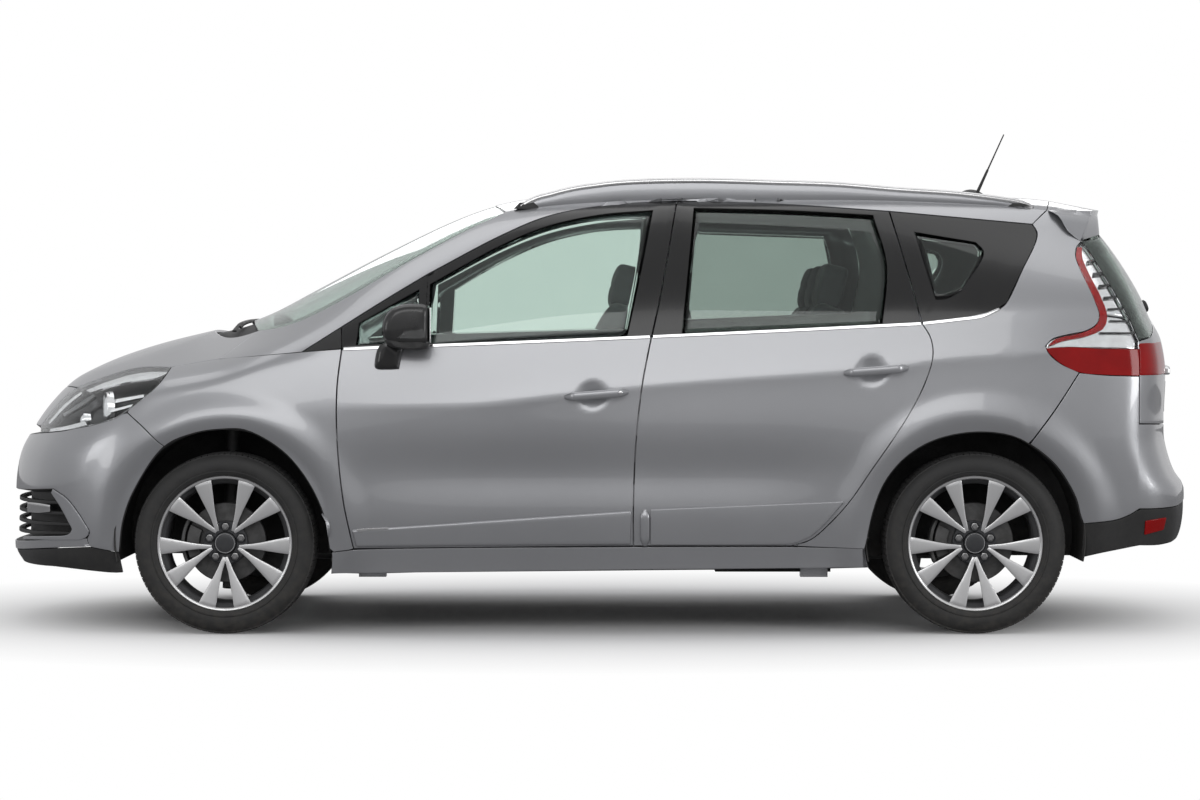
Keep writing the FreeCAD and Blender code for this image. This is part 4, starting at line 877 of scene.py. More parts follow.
REFLECTOR = material("Lamp reflector", 0.70, 0.60, 0.14, 0.1, 20.0, 0.0, Metallic=1.0)
LAMP_DARK = material("Dark lamp bezel", 0.030, 0.024, 0.30, 0.03, 4.0, 0.0, Metallic=0.3)
SEAL = material("Rubber seal", 0.012, 0.02, 0.6, 0.1, 20.0, 0.1, 0.6, grain=(700.0, 0.15, 0.0003))
TYRE = material("Tyre rubber", 0.018, 0.030, 0.62, 0.14, 9.0, 0.25, 0.7, grain=(520.0, 0.3, 0.0005))
ALLOY = material("Machined alloy face", 0.74, 0.68, 0.34, 0.08, 12.0, 0.05, 0.7, Metallic=0.9,
    Coat_Weight=0.6)
ALLOY_DARK = material("Dark painted alloy", (0.060, 0.062, 0.066, 1), (0.050, 0.052, 0.056, 1), 0.40, 0.1,
    14.0, 0.1, 0.7, Metallic=0.5)
BARREL = material("Painted rim barrel", (0.23, 0.232, 0.24, 1), (0.19, 0.192, 0.20, 1), 0.36, 0.08, 12.0,
    0.15, 0.7, Metallic=0.7)
DISC = material("Worn brake disc", 0.12, 0.085, 0.42, 0.12, 30.0, 0.2, 0.7, Metallic=0.9)
CAST = material("Cast metal", 0.16, 0.11, 0.55, 0.16, 9.0, 0.25, 0.9, grain=(320.0, 0.5, 0.001),
    Metallic=0.85)
# White behind the mirror repeater's lens: a painted reflection, standing in for the bright light that the
# lamp's reflector shows
REPEATER_WHITE_PAINTED_REFLECTION = material("Bright lamp diffuser", 0.80, 0.66, 0.25, 0.08, 30.0, 0.0)
STEEL = material("Turned steel", 0.36, 0.28, 0.30, 0.14, 16.0, 0.1, 0.7, Metallic=1.0)
UNDERSIDE = material("Sealed underside", 0.035, 0.022, 0.75, 0.1, 6.0, 0.3, 0.6,
    grain=(240.0, 0.5, 0.001))
CABIN = material("Cabin plastic", 0.045, 0.060, 0.55, 0.08, 7.0, 0.0, grain=(800.0, 0.3, 0.0004))
FABRIC = material("Woven fabric", (0.030, 0.032, 0.036, 1), (0.042, 0.044, 0.048, 1), 0.85, 0.05, 8.0,
    0.0, weave=(1400.0, 0.0007, (0.075, 0.078, 0.085, 1)), Sheen_Weight=0.3)
HEADLINING = material("Headlining", (0.30, 0.29, 0.27, 1), (0.34, 0.33, 0.31, 1), 0.9, 0.05, 6.0, 0.0,
    weave=(1900.0, 0.0004, (0.40, 0.39, 0.37, 1)))


# Body panels, laid over the surface and thickened
SILL_LOW_PX = [(331, 574), (600, 570.5), (863, 568)]
SILL_HIGH_PX = [(331, 553), (353, 550.5), (633, 547.5), (791, 547.5), (863, 549)]
SCREEN_SIDE_PX = [(257, 331), (282, 326.6), (302, 320), (322, 310.5), (348.7, 296), (402, 265),
    (461, 233), (505, 212)]
PILLAR_FOOT_PX = [(301, 352), (340.5, 327)]


def roof_edge(x_low, x_high, count=48):
    """Joint between roof panel and side, from one share of the half length to another."""
    xs = np.linspace(x_low, x_high, 24)
    return from_above([(x, -float(at("split_y", x) * at("plan", x))) for x in xs], count)


screen_corner = spot(505, 212)
roof_front = chain(curve([screen_corner, roof_edge(-0.06, 0.0)[0]], 24), roof_edge(-0.06, 0.24, 24))
roof_break = roof_front[-1]
roof_rear = roof_edge(0.24, 0.745, 30)
roof_end = roof_rear[-1]
belt_front = px((341, 349), (500, 343), (651, 336.8))
belt_rear = px((651, 336.8), (785, 330.5), (922, 323.8))
frame_top_front = from_photo(FRAME_TOP_FRONT_PX[:3])
frame_top_middle = from_photo(FRAME_TOP_FRONT_PX[2:])
door_front_line = from_photo(DOOR_FRONT_PX)
door_split_line = from_photo(DOOR_SPLIT_PX)
door_rear_line = from_photo(DOOR_REAR_PX)
front_arch = from_photo(BUMPER_ARCH_PX + ARCH_FRONT_PX[1:] + ARCH_REAR_PX[1:], 160)
arch_low, arch_high, arch_front, arch_rear = split_at(front_arch, spot(134, 489), spot(163.8, 446.4),
    spot(245, 430))
rear_arch = from_photo(QUARTER_ARCH_PX + REAR_ARCH_PX[::-1][1:], 160)
quarter_arch_low, quarter_arch_middle, quarter_arch_end, bumper_arch_high, bumper_arch_low = split_at(
    rear_arch, spot(934, 440), spot(995, 433), spot(1029, 444), spot(1075, 497))
wing_bottom = chain(arch_rear, bridge(spot(330, 552.6), spot(353, 549), 8))
bumper_split = bridge(arch_front[0], spot(125.5, 411.5))
lamp_rear = from_photo(LAMP_REAR_PX)
wing_middle = from_photo(WING_MIDDLE_PX)
wing_middle[0] = arch_front[-1]

both_sides(skin("front_wing", [(arch_front, wing_middle, from_photo(WING_TOP_FRONT_PX),
    chain(bumper_split, lamp_rear), 22, 26), (wing_bottom, door_front_line, from_photo(WING_TOP_REAR_PX),
    wing_middle, 26, 26)], gap=0.002), "body", PAINT, ["front_wings"], False)

both_sides(skin("front_door_skin", [(px((353, 549), (500, 547.5), (633, 546)), door_split_line,
    belt_front, door_front_line, 76, 60)], gap=SHUT_GAP / 2), "door_front_@", PAINT)
both_sides(skin("rear_door_skin", [(px((633, 546), (715, 546), (791, 546)), door_rear_line, belt_rear,
    door_split_line, 76, 60)], gap=SHUT_GAP / 2), "door_rear_@", PAINT)

pillar_low = px(*PILLAR_FOOT_PX)
screen_high = from_photo(SCREEN_SIDE_PX[3:])
bonnet_corner = px((219, 359), (240, 344), (257, 331))
pillar_split = bridge(spot(340.5, 327), spot(322, 310.5), 24)
frame_break = bridge(frame_top_middle[20], screen_high[-1], 24)
both_sides(skin("side_frame", [(px((219, 359), (260, 355.6), (301, 352)),
    bridge(spot(301, 352), spot(302, 320), 24), from_photo(SCREEN_SIDE_PX[:3]), bonnet_corner, 20, 12),
    (pillar_low, pillar_split, px((302, 320), (322, 310.5)), bridge(spot(301, 352), spot(302, 320), 24),
    8, 12), (chain(frame_top_front, frame_top_middle[:21]), frame_break, screen_high, pillar_split, 36,
    12), (frame_top_middle[20:], bridge(spot(676.3, 200), roof_break, 24), roof_front, frame_break, 20,
    12), (chain(px((676.3, 200), (785, 204), (889, 211)), px((889, 211), (1032, 224))),
    bridge(spot(1032, 224), roof_end, 24), roof_rear, bridge(spot(676.3, 200), roof_break, 24), 44, 12)],
    gap=0.0015, thickness=0.010, bevel=0.0015), "body", PAINT)

door_rear_low, door_rear_high = split_at(from_photo(DOOR_REAR_PX, 120), spot(906, 419))
quarter_low = bridge(door_rear_low[-1], quarter_arch_low[-1])
waist_low, waist_high = split_at(px((922, 323.8), (955, 319), (999, 309.5)), spot(960, 318))
rise_front = bridge(quarter_arch_low[-1], waist_low[-1])
rise_rear = bridge(quarter_arch_middle[-1], waist_high[-1])
lamp_seam = px((999, 309.5), (1045, 346))
both_sides(skin("quarter_panel", [(px((791, 546), (864, 549)), quarter_arch_low, quarter_low,
    door_rear_low, 14, 24), (quarter_low, rise_front, waist_low, door_rear_high, 14, 26),
    (quarter_arch_middle, rise_rear, waist_high, rise_front, 14, 26),
    (chain(quarter_arch_end, px((1029, 444), (1055, 409), (1078.75, 372.5))),
    px((1078.75, 372.5), (1059, 363), (1048, 353), (1045, 346)), lamp_seam, rise_rear, 14, 26),
    (lamp_seam, chain(from_photo(LAMP_ARM_PX), from_photo(LAMP_SIDE_PX),
    px((1081, 241), (1069, 230), (1061, 212), (1052, 205))), px((1032, 224), (1052, 205)),
    px((999, 309.5), (1006, 303), (1021, 272), (1037, 234), (1032, 224)), 14, 96)], gap=0.0015,
    thickness=0.02), "body", PAINT)

both_sides(skin("sill", [(from_photo(SILL_LOW_PX), px((863, 568), (863, 549)), from_photo(SILL_HIGH_PX),
    px((331, 574), (331, 553)), 60, 8)], depth=0.006, thickness=0.03), "body", PAINT)

# Window frames and glass
front_outer = [px((424, 345.7), (540, 341.5), (651, 336.8)), from_photo(FRAME_SPLIT_PX),
    from_photo(FRAME_TOP_FRONT_PX[2:]), px((424, 345.7), (427, 274))]
small_outer = [px((341, 349), (424, 345.7)), px((424, 345.7), (427, 274)),
    from_photo(FRAME_TOP_FRONT_PX[:3]), px((341, 349), (340.5, 327))]
small_glass = [px((356, 344.5), (416, 342)), px((416, 342), (418, 290)),
    px((359, 323), (390, 305.5), (418, 290)), px((356, 344.5), (359, 323))]
front_glass = loop_px(FRONT_GLASS_PX)
rear_outer = [belt_rear, from_photo(FRAME_REAR_PX), from_photo(FRAME_TOP_REAR_PX),
    from_photo(FRAME_SPLIT_PX)]
rear_glass = loop_px(REAR_GLASS_PX)
both_sides(skin("front_door_frame", ring(front_outer, front_glass, (26, 16), 3)[1:]
    + ring(small_outer, small_glass, (14, 8), 2), gap=SHUT_GAP / 2, depth=0.002, thickness=0.014),
    "door_front_@", GLOSS_BLACK)
both_sides(skin("rear_door_frame", ring(rear_outer, rear_glass, (26, 18), 3)[1:], gap=SHUT_GAP / 2,
    depth=0.002, thickness=0.014), "door_rear_@", GLOSS_BLACK)


def pane(name, loop, across, up, body, replaced=(), tint=GLASS):
    """Glass pane a little behind its frame."""
    both_sides(skin(name, [(*loop, across, up)], gap=-0.006, depth=0.010, thickness=0.004, bevel=0), body,
        tint, replaced)


pane("front_door_glass", front_glass, 26, 16, "door_front_@", ["door_glass_front_@"])
pane("front_quarter_light", small_glass, 12, 8, "door_front_@")
pane("rear_door_glass", rear_glass, 26, 18, "door_rear_@", ["door_glass_rear_@"], PRIVACY_GLASS)
both_sides(skin("rear_door_screen_print", ring(rear_glass, loop_px(REAR_CLEAR_PX), (20, 14), 2),
    depth=0.016, thickness=0.001, bevel=0), "door_rear_@", DARK_GLASS)

both_sides(skin("pillar_triangle", [(px((301, 352), (341, 348.5)), px((341, 348.5), (340.5, 327)),
    px((301, 352), (340.5, 327)), px((301, 352), (301.2, 352)), 8, 6)], gap=0.001, depth=0.002,
    thickness=0.01), "body", BLACK_PLASTIC)

quarter_outer, quarter_clear = loop_px(QUARTER_PX), loop_px(QUARTER_CLEAR_PX)
both_sides(skin("quarter_glass_border", ring(quarter_outer, quarter_clear, (18, 16), 4), gap=0.002,
    depth=0.002, thickness=0.005, bevel=0.001), "body", GLOSS_BLACK, ["fixed_glass"],
    False)
both_sides(skin("quarter_glass", [(*quarter_clear, 10, 10)], gap=-0.004, depth=0.005, thickness=0.004,
    bevel=0), "body", PRIVACY_GLASS)

# Bright strips along the waist
for name, body, low, high in (("front_waist_strip", "door_front_@",
        [(343, 350.6), (500, 344.8), (649.5, 338.6)], [(343, 347.4), (500, 341.6), (649.5, 335.4)]),
        ("rear_waist_strip", "door_rear_@", [(652.5, 338.4), (785, 332.3), (920.5, 325.5)],
        [(652.5, 335.2), (785, 329.1), (920.5, 322.2)]), ("quarter_waist_strip", "body",
        [(922.5, 325.2), (955, 321.5), (983, 317.5), (1000, 310)], [(922.5, 322), (955, 318.3),
        (981, 314.5), (998, 308)])):
    both_sides(skin(name, [(from_photo(low), px(low[-1], high[-1]), from_photo(high), px(low[0], high[0]),
        40, 2)], depth=-0.0035, thickness=0.008, bevel=0.0015), body, CHROME)

# Bonnet, windscreen and roof
lamp_top = from_photo(LAMP_TOP_PX[2:])
lamp_top_low = from_photo(LAMP_TOP_PX[:3])
bonnet_side = chain(lamp_top, px((171, 367), (196, 362.5), (219, 359)), bonnet_corner)
bonnet_front = over_top(spot(76.5, 387.5), BONNET_FRONT * HALF_LENGTH)
screen_base = over_top(spot(257, 331), SCREEN_FOOT * HALF_LENGTH)
cowl_reach = 0.150
cowl_share = 1 - (screen_base[:, 1] / screen_base[0, 1]) ** 4
bonnet_rear = dropped(screen_base[:, 0] - cowl_share * cowl_reach, screen_base[:, 1])
bonnet_rear[0] = screen_base[0]
screen_head = over_top(screen_corner, SCREEN_HEAD * HALF_LENGTH)
shown(skin("bonnet_skin", [(bonnet_front, middle_between(bonnet_front, bonnet_rear, 48), bonnet_rear,
    bonnet_side, 26, 44)], gap=0.002, thickness=0.012, whole=True), "bonnet", PAINT)
screen_side = from_photo(SCREEN_SIDE_PX)
screen_patch = (screen_base, middle_between(screen_base, screen_head, 48), screen_head, screen_side, 26,
    40)
shown(skin("windscreen", [screen_patch], gap=0.004, depth=0.003, thickness=0.005, bevel=0.001,
    whole=True), "body", GLASS)
roof_tail = over_top(roof_end, ROOF_TAIL * HALF_LENGTH)
roof_side = chain(roof_front, roof_rear)
roof_patch = (screen_head, middle_between(screen_head, roof_tail, 60), roof_tail, roof_side, 22, 60)
shown(skin("roof_skin", [roof_patch], gap=0.0015, thickness=0.014, whole=True), "body", PAINT,
    ["roof_panel"])


# Front bumper with its intake, trims and lip
nose_high, nose_low = spot(40, 426), spot(40, 433)
slot_top = over_end(nose_high, 0.757, -1)
slot_bottom = over_end(nose_low, 0.716, -1)
shown(skin("nose_panel", [half_band(slot_top, bonnet_front, 24, 10, lamp_top_low)], gap=0.002,
    whole=True), "body", PAINT)
slot = pocket("upper_grille", [half_band(slot_bottom, slot_top, 24, 3, px((40, 433), (40, 426)))], 0.004,
    0.03, 0.002, whole=True)
shown(slot, "body", BLACK_PLASTIC)

intake_top = over_end(spot(53, 489), 0.505, -1)
intake_bottom = over_end(spot(86, 538), 0.305, -1)
intake_side = px((86, 538), (89, 533), (83, 521), (67, 499), (53, 489))
lip_bottom = over_end(spot(89, 547), 0.272, -1)
band_side = px((53, 489), (64, 460), (75, 428.3))
band_top = chain(px((75, 428.3), (61, 431), (40, 433)), slot_bottom)
bumper_break = bridge(band_side[0], arch_low[-1])
bumper_top = chain(px((75, 428.3), (92, 425), (115, 418), (125.5, 411.5)), reversed_line(bumper_split))
shown(skin("front_bumper_skin", [half_band(intake_top, band_top, 40, 14, band_side),
    (bumper_break, arch_high, bumper_top, band_side, 18, 14), (px((89, 547), (104, 550), (118.6, 552.6)),
    arch_low, bumper_break, chain(px((89, 547), (86, 538)), intake_side), 18, 20),
    half_band(lip_bottom, intake_bottom, 40, 3, px((89, 547), (86, 538)))], gap=0.0015, thickness=0.010,
    whole=True), "body", PAINT, ["front_bumper"])
shown(pocket("intake_recess", [half_band(intake_bottom, intake_top, 30, 12, intake_side)], 0.008, 0.055,
    0.004, whole=True), "body", BLACK_PLASTIC, ["front_grilles"])
for i, (pixel, height) in enumerate((((66, 503), 0.472), ((75, 514), 0.432), ((82, 525), 0.392),
        ((85, 534), 0.350))):
    low = over_end(spot(pixel[0], pixel[1] + 1.5), height - 0.007, -1)
    high = over_end(spot(pixel[0], pixel[1] - 1.5), height + 0.007, -1)
    shown(skin("intake_louvre_" + str(i), [half_band(low, high, 36, 1)], depth=0.014, thickness=0.022,
        bevel=0.002, whole=True), "body", BLACK_PLASTIC)
trim_outer = px((53, 489), (67, 499), (83, 521), (89, 533), (84, 538.5), (64, 540), (23, 539))
trim_inner = px((51.5, 493), (60, 506), (68, 521), (72, 530), (68, 534.5), (50, 536), (24, 536.5))
both_sides(skin("intake_trim", [band(trim_outer, trim_inner, 46, 5)], depth=-0.005, thickness=0.012,
    bevel=0.004), "body", PAINT)
day_low, day_high = px((47.5, 512), (36, 513), (25, 512)), px((47.5, 505), (36, 503), (25, 502))
both_sides(skin("day_lamp", [band(day_low, day_high, 14, 3)], depth=0.006, thickness=0.010, bevel=0.003),
    "body", REFLECTOR)
chin_bottom = chain(px((122.5, 573), (112, 573.5), (50, 567)), over_end(spot(50, 567), 0.225, -1))
chin_top = chain(px((118.6, 552.6), (104, 550), (89, 547)), lip_bottom)
shown(skin("front_valance", [half_band(chin_bottom, chin_top, 44, 4, px((122.5, 573), (118.6, 552.6)))],
    gap=0.0015, depth=0.004, whole=True), "body", BLACK_PLASTIC)

# Headlamps: dark pocket, projector, bright bars and a clear cover
lamp_loop = [from_photo(LAMP_BOTTOM_PX), lamp_rear, from_photo(LAMP_TOP_PX), px((40, 433), (40, 426))]
both_sides(skin("headlamp_cover", [(*lamp_loop, 30, 14)], gap=0.0015, thickness=0.003, bevel=0.001),
    "body", LENS, ["headlamps"], False)
both_sides(pocket("headlamp_pocket", [(*lamp_loop, 30, 14)], 0.006, 0.045, 0.006), "body", LAMP_DARK)
for name, low, high, depth, metal in (("headlamp_bar_upper", [(104, 401), (141, 394)],
        [(104, 397), (141, 390.5)], 0.022, CHROME), ("headlamp_bar_lower", [(106, 410), (128, 404.5)],
        [(106, 407), (130, 401.5)], 0.022, CHROME), ("headlamp_strip",
        [(88, 390), (110, 382.5), (135, 377.5), (158, 374), (166, 370)],
        [(84, 388), (108, 378.5), (133, 371.5), (155, 368.8), (167, 368.3)], 0.012, REFLECTOR),
        ("headlamp_edge_strip", [(47, 423), (64, 404.5), (80, 391.5)],
        [(46, 421.3), (62.5, 402.8), (79, 390)], 0.010, CHROME), ("headlamp_corner_strip",
        [(46, 430.5), (62, 428.5), (84, 423.5)], [(47, 427), (62, 424.5), (82, 419.5)], 0.014, REFLECTOR),
        ("headlamp_brow", [(60, 414), (80, 402), (92, 393)], [(59, 411), (78, 399), (90, 390.5)], 0.018,
        LAMP_DARK)):
    low, high = from_photo(low), from_photo(high)
    both_sides(skin(name, [band(low, high, 24, 2)], depth=depth, thickness=0.010, bevel=0.001), "body",
        metal)


def turned(profile, steps):
    """Mesh turned about Z from a profile of radius and place along the axis."""
    bm = bmesh.new()
    verts = [bm.verts.new((radius, 0, along)) for radius, along in profile]
    edges = [bm.edges.new(two) for two in zip(verts, verts[1:])]
    bmesh.ops.spin(bm, geom=verts + edges, cent=(0, 0, 0), axis=(0, 0, 1), angle=2 * math.pi, steps=steps,
        use_merge=True)
    bmesh.ops.remove_doubles(bm, verts=bm.verts, dist=1e-5)
    bmesh.ops.recalc_face_normals(bm, faces=bm.faces)
    return bm


def stood_at(bm, name, centre, axis, sharp):
    """New object from a turned mesh, moved to its centre with Z along the axis."""
    turn = Vector((0, 0, 1)).rotation_difference(Vector(axis)).to_matrix().to_4x4()
    bmesh.ops.transform(bm, matrix=Matrix.Translation(Vector(centre)) @ turn, verts=bm.verts)
    return object_from(bm, name, sharp)


def turned_ring(name, profile, centre, axis, steps=48, sharp=35.0):
    """Form turned about an axis from a profile of radius and place along the axis."""
    return stood_at(turned(profile, steps), name, centre, axis, sharp)


def behind(pixel, depth):
    """Place behind the surface at a pixel, and the way out from there."""
    place = spot(*pixel)
    outward = normals_at(place[None])[0]
    return place - outward * depth, outward


for name, pixel, size in (("projector", (99, 403), 0.040), ("high_beam", (75, 414), 0.022)):
    place, outward = behind(pixel, 0.046)
    way = Vector((-1.0, -0.35, 0.0)).normalized()
    profile = [(0.0, 0.016), (size * 0.45, 0.0145), (size * 0.8, 0.009), (size * 0.98, 0.0),
        (size * 1.02, 0.0), (size * 1.25, 0.006), (size * 1.3, 0.0), (size * 1.3, -0.02), (0.0, -0.02)]
    lens = turned_ring("headlamp_" + name, profile, place, way)
    for vert in lens.data.vertices:
        vert.co.z = place[2] + (vert.co.z - place[2]) * (1.30 if name == "projector" else 1.0)
    both_sides(lens, "body", REFLECTOR)

# Tail lamps
arm, spine = from_photo(LAMP_ARM_PX), from_photo(LAMP_SIDE_PX)
lamp_cut = px((1099, 314), (1128, 317))
lamp_outer_edge = px((1128, 317), (1104, 276), (1087, 249))
upper_lamp = (lamp_cut, lamp_outer_edge, px((1081, 241), (1087, 249)), spine, 8, 24)
lower_top = chain(arm, lamp_cut, px((1128, 317), (1133, 329), (1138.5, 341)))
step_line = px((1045.5, 348), (1070, 347), (1100, 348.5), (1138.7, 349))
clear_part = (step_line, px((1138.7, 349), (1138.5, 341)), lower_top, px((1045.5, 348), (1045, 346)), 28,
    10)
red_part = (from_photo(LAMP_UNDER_PX), px((1139, 376), (1138.7, 349)), step_line,
    px((1048, 353), (1045.5, 348)), 28, 8)
both_sides(skin("tail_lamp_cover", [upper_lamp, clear_part], gap=0.0015, thickness=0.003, bevel=0.001),
    "body", LENS, ["tail_lamps"], False)
both_sides(skin("tail_lamp_red", [red_part], gap=0.001, thickness=0.012, bevel=0.002), "body", RED_LENS)
both_sides(skin("tail_lamp_reflector", [upper_lamp, clear_part], gap=0.002, depth=0.016, thickness=0.004,
    bevel=0), "body", REFLECTOR)
guide_low = px((1052, 345), (1062, 341), (1088, 335.5), (1104, 327.5), (1107, 315), (1101, 297),
    (1088, 271), (1082, 256), (1082, 247))
guide_high = px((1047.5, 346), (1054, 339.5), (1086, 331), (1097, 323.5), (1099.5, 314), (1093.5, 297),
    (1080.5, 270), (1075.5, 256), (1077, 246))
both_sides(skin("tail_lamp_guide", [band(guide_low, guide_high, 60, 3)], depth=0.004, thickness=0.008,
    bevel=0.0015), "body", RED_LENS)
for i, (a, b) in enumerate((((1087, 262), (1095, 260)), ((1093, 274), (1103, 273)),
        ((1099, 286), (1110, 285)), ((1104, 298), (1117, 297)), ((1108, 310), (1124, 309)),
        ((1110, 322), (1130, 322)), ((1100, 334), (1135, 334)))):
    low, high = px(a, b), px((a[0] - 0.6, a[1] - 2.2), (b[0] - 0.6, b[1] - 2.2))
    both_sides(skin("tail_lamp_step_" + str(i), [band(low, high, 8, 1)], depth=0.006, thickness=0.012,
        bevel=0.0015), "body", LAMP_DARK)

# Tailgate, its glass, spoiler and lamps
glass_bottom = over_end(spot(1138.5, 341), 1.175, 1)
glass_top = over_end(spot(1080, 241), 1.53, 1)
glass_side = from_photo(GLASS_SIDE_PX)
shown(skin("tailgate_glass_pane", [half_band(glass_bottom, glass_top, 26, 20, glass_side)], gap=0.003,
    depth=0.002, thickness=0.005, bevel=0.001, whole=True), "tailgate", PRIVACY_GLASS,
    ["tailgate_glass"])
gate_grid = coons(*half_band(glass_bottom, glass_top, 26, 24, glass_side))
shown(skin("tailgate_glass_border", [grid_part(gate_grid, 0, 2, 26), grid_part(gate_grid, 20, 24, 26),
    grid_part(gate_grid, 2, 20, 3)], depth=0.009, thickness=0.001, bevel=0, whole=True), "tailgate",
    DARK_GLASS)
gate_bottom = over_end(spot(1139, 424), 0.760, 1)
lamp_line_low = over_end(spot(1139, 376), 0.955, 1)
lamp_line_high = over_end(spot(1138.5, 343), 1.085, 1)
shown(skin("tailgate_skin", [half_band(gate_bottom, lamp_line_low, 30, 14, px((1139, 424), (1139, 376))),
    half_band(lamp_line_low, glass_bottom, 30, 12, px((1139, 376), (1138.5, 341)))], gap=0.002,
    thickness=0.014, whole=True), "tailgate", PAINT, ["tailgate"])


def between(line, start, stop):
    """The part of a line between two shares of its length."""
    even = spaced(line, 201)
    return even[int(start * 200):int(stop * 200) + 1]


gate_lamp_low, gate_lamp_high = between(lamp_line_low, 0.0, 0.42), between(lamp_line_high, 0.0, 0.36)
both_sides(skin("tailgate_lamp", [(gate_lamp_low, np.array([gate_lamp_low[-1], gate_lamp_high[-1]]),
    gate_lamp_high, px((1139, 376), (1138.5, 343)), 16, 8)], gap=0.002, depth=-0.003, thickness=0.016,
    bevel=0.003), "tailgate", RED_LENS, ["tailgate_lamps"], False)
grip_low, grip_high = over_end(spot(1139, 377), 0.953, 1), over_end(spot(1139, 371), 0.985, 1)
grip_low, grip_high = between(grip_low, 0.5, 1.0), between(grip_high, 0.5, 1.0)
shown(skin("tailgate_grip", [half_band(grip_low, grip_high, 12, 4)], depth=-0.018, thickness=0.024,
    bevel=0.006, whole=True), "tailgate", CHROME)
plate_low, plate_high = over_end(spot(1139, 412), 0.805, 1), over_end(spot(1139, 383), 0.925, 1)
plate_low, plate_high = between(plate_low, 0.66, 1.0), between(plate_high, 0.66, 1.0)
shown(skin("plate_panel", [half_band(plate_low, plate_high, 8, 4)], depth=-0.004, thickness=0.006,
    bevel=0.002, whole=True), "tailgate", BLACK_PLASTIC)

spoiler_back = 1.966
spoiler_height = 1.590
spoiler_seam = px((1080, 241), (1069, 230), (1061, 212), (1052, 205))
tip_half = -np.interp(spoiler_height - 0.016, spoiler_seam[:, 2], spoiler_seam[:, 1])
ys = np.linspace(-tip_half, 0, 20)
root_line = np.stack([np.interp(ys, roof_tail[:, 1], roof_tail[:, 0]), ys,
    np.interp(ys, roof_tail[:, 1], roof_tail[:, 2])], axis=1)
root_line[0] = roof_tail[0]
bend = (ys / tip_half) ** 2
tip_top = np.stack([spoiler_back - 0.095 * bend, ys, spoiler_height - 0.016 * bend], axis=1)
tip_low = tip_top + (-0.004, 0, -0.016)
under_line = np.stack([np.interp(ys, glass_top[:, 1], glass_top[:, 0]), ys,
    np.interp(ys, glass_top[:, 1], glass_top[:, 2])], axis=1)
under_line[0] = glass_top[0]
corner = np.array([under_line[0] + t * (tip_low[0] - under_line[0]) for t in np.linspace(0, 1, 6)])
corner[1:-1, 1] = np.interp(corner[1:-1, 2], spoiler_seam[:, 2], spoiler_seam[:, 1])
shown(skin("spoiler", [band(root_line, tip_top, 24, 6), band(tip_top, tip_low, 24, 1),
    (tip_low, np.array([tip_low[-1], under_line[-1]]), under_line, corner[::-1], 24, 5),
    (spoiler_seam, np.array([root_line[0], tip_top[0]]), np.vstack([corner, tip_top[:1]]),
    np.array([under_line[0], under_line[0] + 1e-5]), 8, 6)], gap=0.001, thickness=0.004, bevel=0.002,
    flat=True, whole=True), "tailgate", PAINT)

# Rear bumper and valance
rear_top = chain(px((1029, 444), (1055, 409), (1078.75, 372.5)), px((1078.75, 372.5), (1104, 375),
    (1139, 376)))
side_low = px((1083, 524), (1116, 520), (1131, 514), (1139, 509))
rear_low = over_end(spot(1139, 509), 0.482, 1)
corner_low = px((1139, 509), (1139, 424))
rear_break = bridge(bumper_arch_high[-1], corner_low[-1])
shown(skin("rear_bumper_skin", [(side_low, corner_low, rear_break, reversed_line(bumper_arch_low), 24,
    14), (rear_break, px((1139, 424), (1139, 376)), rear_top, reversed_line(bumper_arch_high), 24, 14),
    half_band(rear_low, gate_bottom, 30, 14, corner_low)], gap=0.0015, thickness=0.012, whole=True),
    "body", PAINT, ["rear_bumper"])
under_low = chain(px((1081, 558), (1110, 552), (1139, 546)), over_end(spot(1139, 546), 0.335, 1))
shown(skin("rear_valance_skin", [half_band(under_low, chain(side_low, rear_low), 40, 8,
    px((1081, 558), (1083, 524)))], gap=0.0015, depth=0.003, thickness=0.012, whole=True), "body",
    BLACK_PLASTIC, ["rear_valance"])
low, high = px((1144, 535), (1163, 530)), px((1145, 521), (1166, 517.5))
both_sides(skin("rear_reflector", [band(low, high, 10, 4)], depth=-0.002, thickness=0.010, bevel=0.003),
    "body", RED_LENS)


# Lower door mouldings
def tapered(shares, sizes, least, rate):
    """Sizes along a path that fall off towards both of its ends."""
    return [[size * min(1, low + rate * min(t, 1 - t)) for size, low in zip(sizes, least)]
        for t in shares]


for stem, body, low, right_side, high, left_side in (("front_door_moulding", "door_front_@",
        [(355.5, 547), (500, 545.5), (630, 544.5)], [(630, 544.5), (631, 510.5)],
        [(351, 529.5), (500, 519.5), (631, 510.5)], [(355.5, 547), (351, 529.5)]),
        ("rear_door_moulding", "door_rear_@", [(650, 544.5), (715, 544.5), (788, 544)],
        [(788, 544), (808, 537.5), (826, 522), (844, 501.5)], [(650, 509.5), (760, 505), (844, 501.5)],
        [(650, 544.5), (650, 509.5)])):
    edges = loop_px((low, right_side, high, left_side))
    both_sides(skin(stem, [(*edges, 44, 6)], depth=-0.010, thickness=0.014, bevel=0.007), body, PAINT)

ridge_centres = px((644.5, 509.5), (644.5, 528), (644.5, 546), count=16)
ridge_outs = normals_at(ridge_centres)
ridge_share = np.linspace(0, 1, 16)
ridge_sizes = tapered(ridge_share, (0.019, 0.013), (0.35, 0.35), 4)
low, high = px((357, 531.5), (372, 530), (388, 528.8)), px((355.5, 528.6), (372, 527.6), (388, 527.2))
both_sides(skin("moulding_tip", [band(low, high, 12, 2)], depth=-0.0125, thickness=0.006, bevel=0.001),
    "door_front_@", BRIGHT_RAIL)


# Wheels: tyre, rim, brake disc and bolts
def polar(centre, radius, angle, along):
    """Place on a wheel's left face at an angle in degrees from the rear, upwards."""
    turn = math.radians(angle)
    return Vector((centre[0] + radius * math.cos(turn), centre[1] - along,
        centre[2] + radius * math.sin(turn)))


